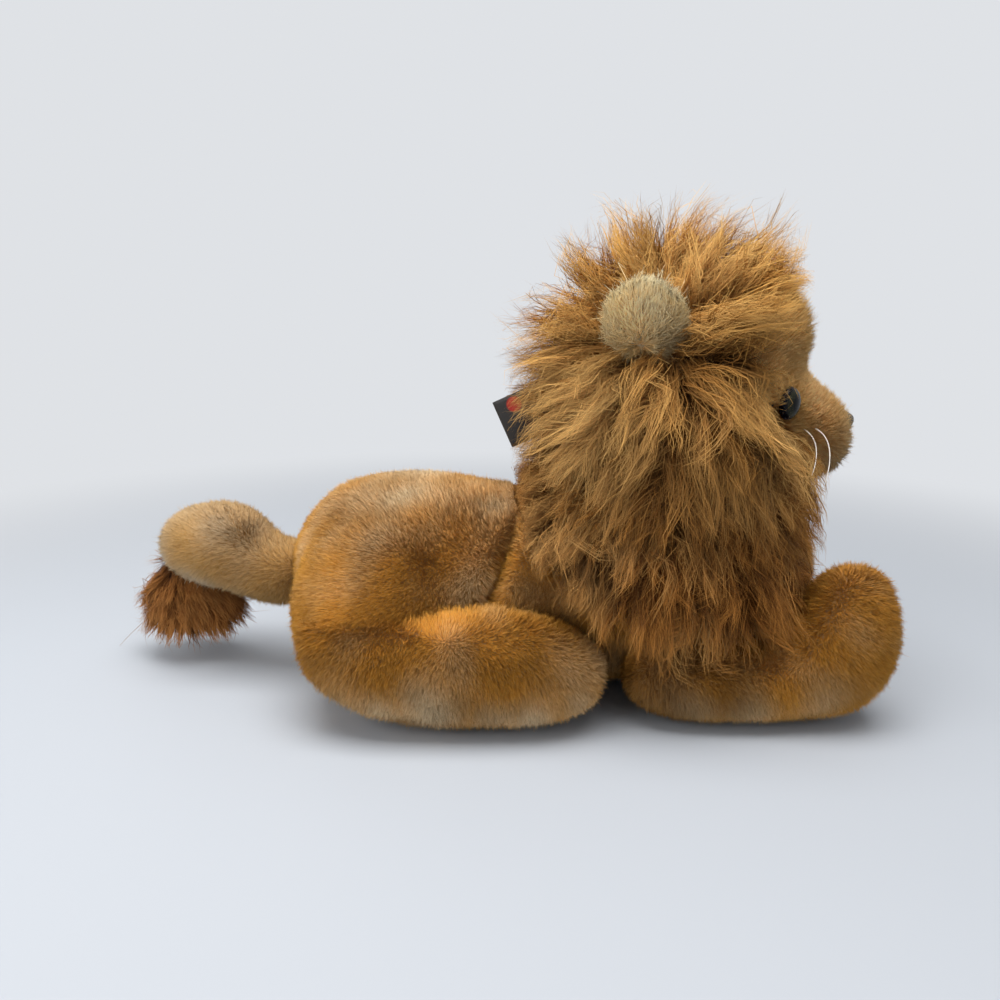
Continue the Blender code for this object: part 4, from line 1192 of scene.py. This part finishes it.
def tag_material():
    """Black woven ribbon with a plain red spot."""
    material, tree, shader = new_material("tag_weave", 0.62, (28, 26, 26))
    where = object_place(tree)
    wave = new_node(tree, "TexWave", Vector=where, Scale=900, Distortion=0.4, bands_direction="Z")
    colour = ramp(tree, wave.outputs["Fac"], ((0.2, (18, 17, 18)), (0.8, (44, 41, 40))))
    away = new_node(tree, "VectorMath", where, TAG_SPOT_PLACE, operation="DISTANCE")
    edge = TAG_SPOT_RADIUS * TAG_SPOT_SOFT_SHARE
    inside = new_node(tree, "MapRange", away.outputs["Value"], TAG_SPOT_RADIUS, edge, 1, 0)
    colour = mix(tree, inside.outputs["Result"], colour, linear(tag_spot_colour))
    feed(tree, shader, Base_Color=colour)
    bump(tree, shader, wave.outputs["Fac"], 0.4, 0.0002)
    return material


def make_looks():
    """All plush materials, each under the name of its coat."""
    return Style(
        gold=pile_material("gold_pile", GOLD),
        mane=pile_material("mane_hair", MANE, mane_low_colours, MANE_SPREAD),
        cream=pile_material("cream_pile", CREAM),
        tuft=pile_material("tuft_hair", TUFT),
        face=pile_material("face_pile", FACE),
        tail=pile_material("tail_pile", TAIL),
        gold_back=backing_material("gold_backing", (176, 132, 80), (206, 162, 104)),
        dark_back=backing_material("mane_backing", (40, 22, 9), (70, 42, 18)),
        cream_back=backing_material("cream_backing", (150, 130, 98), (196, 176, 140)),
    )


def lathe(name, profile, steps, matrix):
    """Turns a profile of (radius, height) rows that starts and ends on the axis."""
    rings = [ring((0, 0, height), (radius, 0, 0), (0, radius, 0), steps) for radius, height in profile[1:-1]]
    ends = tuple((0, 0, row[1]) for row in (profile[0], profile[-1]))
    item = smooth_object(name, rings, ends)
    item.matrix_world = matrix
    return item


def frame_at(place, facing, up_hint):
    """Frame with Z along the facing and Y as near the hint as it can be."""
    z = Vector(facing).normalized()
    x = Vector(up_hint).cross(z).normalized()
    matrix = Matrix((x, z.cross(x), z)).transposed().to_4x4()
    return Matrix.Translation(place) @ matrix


def middle_of(node):
    low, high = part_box(node)
    return (low + high) / 2


def dress(pieces, body, material, nodes=()):
    for piece in pieces:
        piece.data.materials.append(material)
        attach(piece, body)
        if nodes:
            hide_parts(*nodes)


def tree_of(item):
    return BVHTree.FromObject(item, bpy.context.evaluated_depsgraph_get())


def tangent(way, normals):
    return unit(way - (way * normals).sum(axis=-1, keepdims=True) * normals)


def comb_along(steady, strays):
    """Pile that lies along one way and strays from it."""

    def comb(points, normals):
        return tangent(np.array(steady) + stray(points, *strays), normals)

    return comb


def comb_from(whorl, lift, strays):
    """Pile that lies away from a whorl and is lifted a little."""

    def comb(points, normals):
        return tangent(unit(points - np.array(whorl)) + lift + stray(points, *strays), normals)

    return comb


def tuft_comb(points, normals):
    away = unit((points - np.array(TUFT_TOP)) * np.array(tuft_way_shares))
    return unit(away * TUFT_OUT_SHARE - UP * TUFT_DOWN_SHARE + stray(points, *TUFT_STRAY))


def mane_comb(points, normals):
    """Reads the way of the hair from the rows nearby, and lets it stray in locks."""
    rows = np.array(mane_comb_rows)
    side_on = points[:, None, (0, 2)] - rows[None, :, :2]
    reach = (side_on**2).sum(axis=-1) / COMB_REACH**2
    weight = 1 / (COMB_SOFT + reach) ** 2
    way = weight @ rows[:, 2:] / weight.sum(axis=1, keepdims=True)
    way[:, 1] *= np.clip(points[:, 1] / MANE_HALF_WIDTH, -1, 1)
    return unit(way + stray(points, *MANE_STRAY) + stray(points, *LOCK_STRAY))


def in_face(points):
    low = np.interp(points[:, 0], face_edge_x, face_edge_low)
    high = np.interp(points[:, 0], face_edge_x, face_edge_high)
    inside = (points[:, 2] > low) & (points[:, 2] < high)
    return inside & (points[:, 0] > face_edge_x[0])


def off_ears(points):
    return distance(points, EAR_PLACE) > EAR_CLEAR


def mane_on_head(points):
    return ~in_face(points) & off_ears(points)


def pile_on_head(points):
    return in_face(points) & off_ears(points)


def mane_on_torso(points):
    above = points[:, 2] > np.interp(points[:, 0], ruff_edge_x, ruff_edge_z)
    return above & (points[:, 0] > ruff_edge_x[0]) & (points[:, 0] < RUFF_FRONT)


def pile_on_torso(points):
    bare = (np.abs(seam_distance(points)) < SEAM_BARE) & (seam_strength(points) > 0)
    return ~mane_on_torso(points) & ~bare


def mane_size(points):
    """Hair length as a share: shorter on the crown, at the back and on the chest, longest on the sides."""
    crown = fade(points[:, 2], *CROWN_FADE)
    front, back, chest = (fade(points[:, 0], *step) for step in (FRONT_FADE, BACK_FADE, CHEST_FADE))
    parts = (crown, crown * front, back, chest)
    shorter = sum(share * part for share, part in zip(mane_shorter_shares, parts))
    ear = EAR_SHORTER_SHARE * nearness(points, EAR_PLACE, EAR_SHADE)
    temple = TEMPLE_SHORTER_SHARE * nearness(points, TEMPLE_PLACE, TEMPLE_SHADE)
    return (1 - shorter) * (1 - ear) * (1 - temple)


def face_size(points):
    """Pile length as a share: close on the muzzle, longer up the forehead to the mane."""
    muzzle, brow, cheek = face_length_shares
    return muzzle + brow * fade(points[:, 2], *BROW_FADE) + cheek * fade(points[:, 0], *CHEEK_FADE)


def make_torso():
    forms = [body_rings(TORSO_START, TORSO_SIZE, torso_shares)]
    for _, side in SIDES:
        forms.append(ball_rings(HAUNCH_CENTRE, HAUNCH_RADII, side))
        forms.append(ball_rings(THIGH_CENTRE, THIGH_RADII, side))
    skin = stuffed_skin("torso_plush", forms)
    pull_seam(skin)
    return skin


def make_head_skin():
    forms = [
        body_rings(HEAD_START, HEAD_SIZE, head_shares),
        ball_rings(BROW_CENTRE, BROW_RADII),
        ball_rings(MUZZLE_CENTRE, MUZZLE_RADII),
    ]
    return stuffed_skin("head_plush", forms)


def make_hind_leg(side_name, side):
    forms = [body_rings(HIND_LEG_START, HIND_LEG_SIZE, hind_leg_shares, side)]
    return stuffed_skin("hind_leg_plush_" + side_name, forms)


def make_front_leg(side_name, side):
    ratio = PAW_HEIGHT / FRONT_LEG_SIZE[2]
    paw = tuple((along, width, top * ratio, bottom * ratio) for along, width, top, bottom in paw_shares)
    forms = [body_rings(FRONT_LEG_START, FRONT_LEG_SIZE, front_leg_shares + paw, side)]
    return stuffed_skin("front_leg_plush_" + side_name, forms)


def ear_frame(side_name, joints):
    """Frame of one ear: X along its root, Y up the ear, Z out of its face."""
    joint = next(found for found in joints if found["name"] == "ear_flex_" + side_name)
    hinge = Vector(joint["pos_m"])
    chord = Vector(joint["axis"]).normalized()
    up = middle_of("ear_front_" + side_name) - hinge
    up = (up - chord * up.dot(chord)).normalized()
    facing = chord.cross(up)
    if facing.dot(Vector((0, dict(SIDES)[side_name], 0))) < 0:
        facing = -facing
    return frame_at(hinge, facing, up)


def ear_profile():
    """Radius and height of the cushion's rows, from its back to its furry face."""
    rows = [(0, -EAR_DEPTH)]
    for step in range(1, EAR_ROWS):
        share = step / EAR_ROWS
        rows.append((math.sin(math.pi / 2 * share), -EAR_DEPTH * (1 - share**3) - EAR_EDGE))
    for step in range(1, EAR_ROWS):
        share = 1 - step / EAR_ROWS
        rows.append((math.sin(math.pi / 2 * share), EAR_SWELL * (1 - share**2)))
    rows.append((0, EAR_SWELL))
    radius = EAR_RADIUS * EAR_CUSHION_SHARE
    return [(radius * share * EAR_NARROW_SHARE, height) for share, height in rows]


def make_ear_skin(side_name, joints):
    matrix = ear_frame(side_name, joints) @ Matrix.Translation((0, EAR_RISE, -EAR_EDGE))
    ear = lathe("ear_plush_" + side_name, ear_profile(), EAR_STEPS, matrix)
    ear.data.transform(matrix @ Matrix.Diagonal((1, EAR_TALL_SHARE, 1, 1)))
    ear.matrix_world = Matrix()
    return ear, matrix


def ear_comb_from(matrix):
    upward = np.array(matrix.col[1][:3])
    return comb_from(matrix @ Vector(EAR_WHORL), EAR_LIFT_SHARE * upward, EAR_STRAY)


def make_eyes():
    material = eye_material()
    rows = [(0, EYE_BACK), (EYE_RADIUS * EYE_BACK_SHARE, EYE_BACK), (EYE_RADIUS, EYE_RIM)]
    for step in range(1, EYE_ROWS):
        turn = math.pi / 2 * step / EYE_ROWS
        rows.append((EYE_RADIUS * math.cos(turn), EYE_RIM + EYE_DOME * math.sin(turn)))
    rows.append((0, EYE_RIM + EYE_DOME))
    for side_name, _ in SIDES:
        lens = middle_of("eye_lens_" + side_name)
        matrix = frame_at(lens, lens - middle_of("eye_washer_" + side_name), UP)
        eye = lathe("glass_eye_" + side_name, rows, EYE_STEPS, matrix)
        dress([eye], "head", material, ("eye_lens_" + side_name,))


def nose_rings():
    """Broad flattened rings, narrower below, with two nostrils pressed in."""
    half, tall, depth = NOSE_RADII
    rings = []
    for tilt in np.linspace(*NOSE_TURNS, NOSE_ROWS):
        wide = (half * math.sin(tilt), 0, 0)
        loop = ring((0, 0, depth * math.cos(tilt)), wide, (0, tall * math.sin(tilt), 0), NOSE_STEPS)
        loop[:, 0] *= 1 - NOSE_NARROW_SHARE * np.maximum(-loop[:, 1], 0) / tall
        rings.append(loop)
    rings = np.array(rings)[::-1]
    for side in (-1, 1):
        dent = np.array(NOSTRIL_PLACE) * (side, 1, 1)
        reach = np.linalg.norm(rings - dent, axis=-1, keepdims=True)
        rings = rings - NOSTRIL_DEPTH * UP * np.exp(-((reach / NOSTRIL_RADIUS) ** 2))
    return rings


def make_nose():
    item = smooth_object("nose_shell", nose_rings())
    item.matrix_world = frame_at((NOSE_X, 0, middle_of("nose").z), NOSE_FACING, UP)
    finish = speckled_material("nose_vinyl", 0.38, (48, 44, 38), (900, 4), (38, 33, 28), (66, 60, 50))
    material, tree, shader = finish
    bump(tree, shader, noise(tree, 2600, 3), 0.25, 0.0003)
    dress([item], "head", material, ("nose",))


def bent_path(start, middle, end):
    share = np.linspace(0, 1, WHISKER_POINTS)[:, None]
    return start * (1 - share) ** 2 + 2 * middle * share * (1 - share) + end * share**2


def make_whiskers():
    finish = ("whisker_nylon", 0.25, (235, 232, 226), (400, 2), (222, 216, 206), (250, 248, 244))
    material = speckled_material(*finish)[0]
    thinning = (1 - WHISKER_TIP_SHARE) * np.arange(WHISKER_POINTS) / (WHISKER_POINTS - 1)
    radii = WHISKER_RADIUS * (1 - thinning)
    for side_name, side in SIDES:
        for number, place_name in enumerate(("front", "rear")):
            points = np.array(whisker_places) * (1, side, 1) + (number * REAR_WHISKER_BACK, 0, 0)
            points[2, 2] += REAR_WHISKER_LIFT * number
            rings = tube_rings(bent_path(*points), radii, WHISKER_SIDES)
            item = smooth_object("whisker_" + place_name + "_thread_" + side_name, rings)
            nodes = ("whisker_" + place_name + "_" + side_name,)
            dress([item], "head", material, nodes)


def tag_mesh(width, length):
    """A ribbon folded over at its outer edge, whose two layers bulge and waver a little."""
    outline = []
    for step in range(TAG_ROWS):
        share = step / (TAG_ROWS - 1)
        bulge = TAG_BULGE * math.sin(TAG_BULGE_TURN * share)
        outline.append((-length / 2 + share * length, -TAG_GAP - bulge))
    loop = outline[::-1] + [(-length / 2 - TAG_FOLD, 0)] + [(x, -y) for x, y in outline]
    points = []
    for step in range(TAG_COLUMNS):
        z = (step / (TAG_COLUMNS - 1) - 0.5) * width
        for x, y in loop:
            points.append((x, y + TAG_WAVE * math.sin(TAG_WAVE_PACES[0] * x + TAG_WAVE_PACES[1] * z), z))
    count = len(loop)
    faces = []
    for start in range(0, (TAG_COLUMNS - 1) * count, count):
        for one in range(start, start + count - 1):
            faces.append((one, one + 1, one + count + 1, one + count))
    mesh = bpy.data.meshes.new("tag_ribbon")
    mesh.from_pydata(points, [], faces)
    mesh.update()
    mesh.shade_smooth()
    return mesh


def make_tag():
    width, length = TAG_SIZE
    item = place_object("tag_ribbon", tag_mesh(width, length))
    place = Matrix.Translation((*TAG_PLACE, middle_of("neck_tag").z))
    item.matrix_world = place @ Matrix.Rotation(TAG_TURN, 4, "Y")
    item.modifiers.new("cloth", "SOLIDIFY").thickness = TAG_THICKNESS
    bake_modifiers(item)
    dress([item], "head", tag_material(), ("neck_tag",))


def dress_inner_parts():
    """Moulded plastic for the posts and washers behind the eyes and the nose."""
    finish = ("moulded_plastic", 0.45, (52, 52, 54), (500, 3), (42, 42, 45), (66, 65, 66))
    material = speckled_material(*finish)[0]
    for item in bpy.data.objects:
        if item.name.startswith(("eye_post", "eye_washer", "nose_washer")):
            item.data.materials.clear()
            item.data.materials.append(material)


def make_lamp(name, place, target, size, power, colour):
    data = bpy.data.lights.new(name, "AREA")
    data.shape = "RECTANGLE"
    data.size, data.size_y = size
    data.energy = power
    data.color = colour
    item = place_object(name, data)
    item.location = place
    item.rotation_euler = (Vector(target) - Vector(place)).to_track_quat("-Z", "Y").to_euler()


def seen_rays(tree):
    """One for rays from the camera, a mirror or clear glass, and zero for the rest."""
    path = tree.nodes.new("ShaderNodeLightPath")
    total = path.outputs["Is Camera Ray"]
    for name in ("Is Glossy Ray", "Is Transmission Ray"):
        more = new_node(tree, "Math", total, path.outputs[name], operation="ADD", use_clamp=True)
        total = more.outputs["Value"]
    return total


def show_backdrop(tree, kind, share, plain, output):
    """Gives the rays that are seen the backdrop's colour, by a share, and the rest the plain surface."""
    card = new_node(tree, kind, backdrop_colour)
    blend = new_node(tree, "MixShader", share, plain.outputs[0], card.outputs[0])
    tree.links.new(blend.outputs[0], tree.nodes[output].inputs[0])


def floor_material():
    """Pale card that keeps the object's shadow and runs out into the backdrop's colour."""
    material = bpy.data.materials.new("floor_card")
    material.use_nodes = True
    tree = material.node_tree
    shader = tree.nodes["Principled BSDF"]
    feed(tree, shader, Base_Color=floor_colour, Roughness=0.8, Specular_IOR_Level=0.2)
    length = new_node(tree, "VectorMath", object_place(tree), operation="LENGTH").outputs["Value"]
    far = new_node(
        tree, "MapRange", length, FLOOR_PLAIN, FLOOR_GONE, interpolation_type="SMOOTHSTEP"
    )
    share = new_node(tree, "Math", far.outputs["Result"], seen_rays(tree), operation="MULTIPLY")
    show_backdrop(tree, "Emission", share.outputs["Value"], shader, "Material Output")
    return material


def make_world():
    """Plain sky light; the camera and mirrors see the pale backdrop instead."""
    world = bpy.data.worlds.new("studio")
    bpy.context.scene.world = world
    world.use_nodes = True
    tree = world.node_tree
    sky = feed(tree, tree.nodes["Background"], Color=(1, 1, 1, 1), Strength=SKY_STRENGTH)
    show_backdrop(tree, "Background", seen_rays(tree), sky, "World Output")


def make_studio():
    make_world()
    mesh = bpy.data.meshes.new("floor")
    ways = ((-1, -1), (1, -1), (1, 1), (-1, 1))
    mesh.from_pydata([(x * FLOOR_HALF, y * FLOOR_HALF, 0) for x, y in ways], [], [(0, 1, 2, 3)])
    floor = place_object("floor", mesh)
    floor.data.materials.append(floor_material())
    for row in lamps:
        make_lamp(*row)


def make_camera():
    data = bpy.data.cameras.new("camera")
    data.sensor_width = SENSOR
    data.lens = CAMERA_LENS
    camera = place_object("camera", data)
    camera.location = CAMERA_PLACE
    camera.rotation_euler = (CAMERA_TILT, 0, 0)
    bpy.context.scene.camera = camera


def make_trunk(looks):
    """The torso and the head with their pile and the mane."""
    torso = make_torso()
    dress([torso], "torso", looks.gold_back, ("torso_skin", "torso_stuffing"))
    head = make_head_skin()
    dress([head], "head", looks.gold_back, ("head_skin", "head_stuffing"))

    comb = comb_along(TORSO_WAY, TORSO_STRAY)
    marks = body_patches + seam_patches()
    coat = grow("torso_pile", torso, BODY_PILE, comb, marks, 101, keep=pile_on_torso)
    dress(coat, "torso", looks.gold)
    comb = comb_from(FACE_WHORL, FACE_LIFT_SHARE * UP, FACE_STRAY)
    marks = head_patches + tuple((*place, MOUTH_WIDTH, 0, MOUTH_DARK_SHARE) for place in mouth_rows)
    coat = grow("face_pile", head, BODY_PILE, comb, marks, 103, keep=pile_on_head, size=face_size)
    dress(coat, "head", looks.face)

    mane = {"size": mane_size, "trees": (tree_of(head), tree_of(torso))}
    way = (MANE_HAIR, mane_comb, mane_patches)
    coat = grow("mane_crown_hair", head, *way, 105, keep=mane_on_head, **mane)
    dress(coat, "head", looks.mane, ("mane_crown",))
    coat = grow("mane_ruff_hair", torso, *way, 107, keep=mane_on_torso, **mane)
    dress(coat, "torso", looks.mane, ("mane_ruff",))


def make_side(number, side_name, side, looks, joints):
    """One hind leg, one front leg and one ear."""
    comb = comb_along(LIMB_WAY, LIMB_STRAY)
    limbs = (
        ("hind_leg_", make_hind_leg, hind_leg_patches, 111),
        ("front_leg_", make_front_leg, front_leg_patches, 121),
    )
    for limb, make_leg, patches, seed in limbs:
        leg = make_leg(side_name, side)
        nodes = (limb + "skin_" + side_name, limb + "stuffing_" + side_name)
        dress([leg], limb + side_name, looks.gold_back, nodes)
        coat = grow(limb + "pile_" + side_name, leg, BODY_PILE, comb, patches, seed + number)
        dress(coat, limb + side_name, looks.gold)
    ear, matrix = make_ear_skin(side_name, joints)
    nodes = ("ear_front_" + side_name, "ear_back_" + side_name)
    dress([ear], "ear_" + side_name, looks.cream_back, nodes)
    coat = grow("ear_pile_" + side_name, ear, EAR_PILE, ear_comb_from(matrix), ear_patches, 131 + number)
    dress(coat, "ear_" + side_name, looks.cream)


def make_tail(looks):
    tail = stuffed_skin("tail_plush", [tail_rings()])
    dress([tail], "tail", looks.gold_back, ("tail_skin", "tail_stuffing"))
    coat = grow("tail_pile", tail, BODY_PILE, comb_along(TAIL_WAY, TAIL_STRAY), tail_patches, 141)
    dress(coat, "tail", looks.tail)
    tuft = stuffed_skin("tuft_core", [tuft_rings()], TUFT_INSET)
    dress([tuft], "tail", looks.dark_back, ("tail_tuft",))
    coat = grow("tuft_hair", tuft, TUFT_HAIR, tuft_comb, (), 143)
    dress(coat, "tail", looks.tuft)


def main():
    for item in list(bpy.data.objects):
        bpy.data.objects.remove(item)
    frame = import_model()
    bpy.context.scene.view_settings.view_transform = "Standard"
    make_camera()
    make_studio()
    looks = make_looks()
    make_trunk(looks)
    for number, (side_name, side) in enumerate(SIDES):
        make_side(number, side_name, side, looks, frame["joints"])
    make_tail(looks)
    make_eyes()
    make_nose()
    make_whiskers()
    make_tag()
    dress_inner_parts()


main()
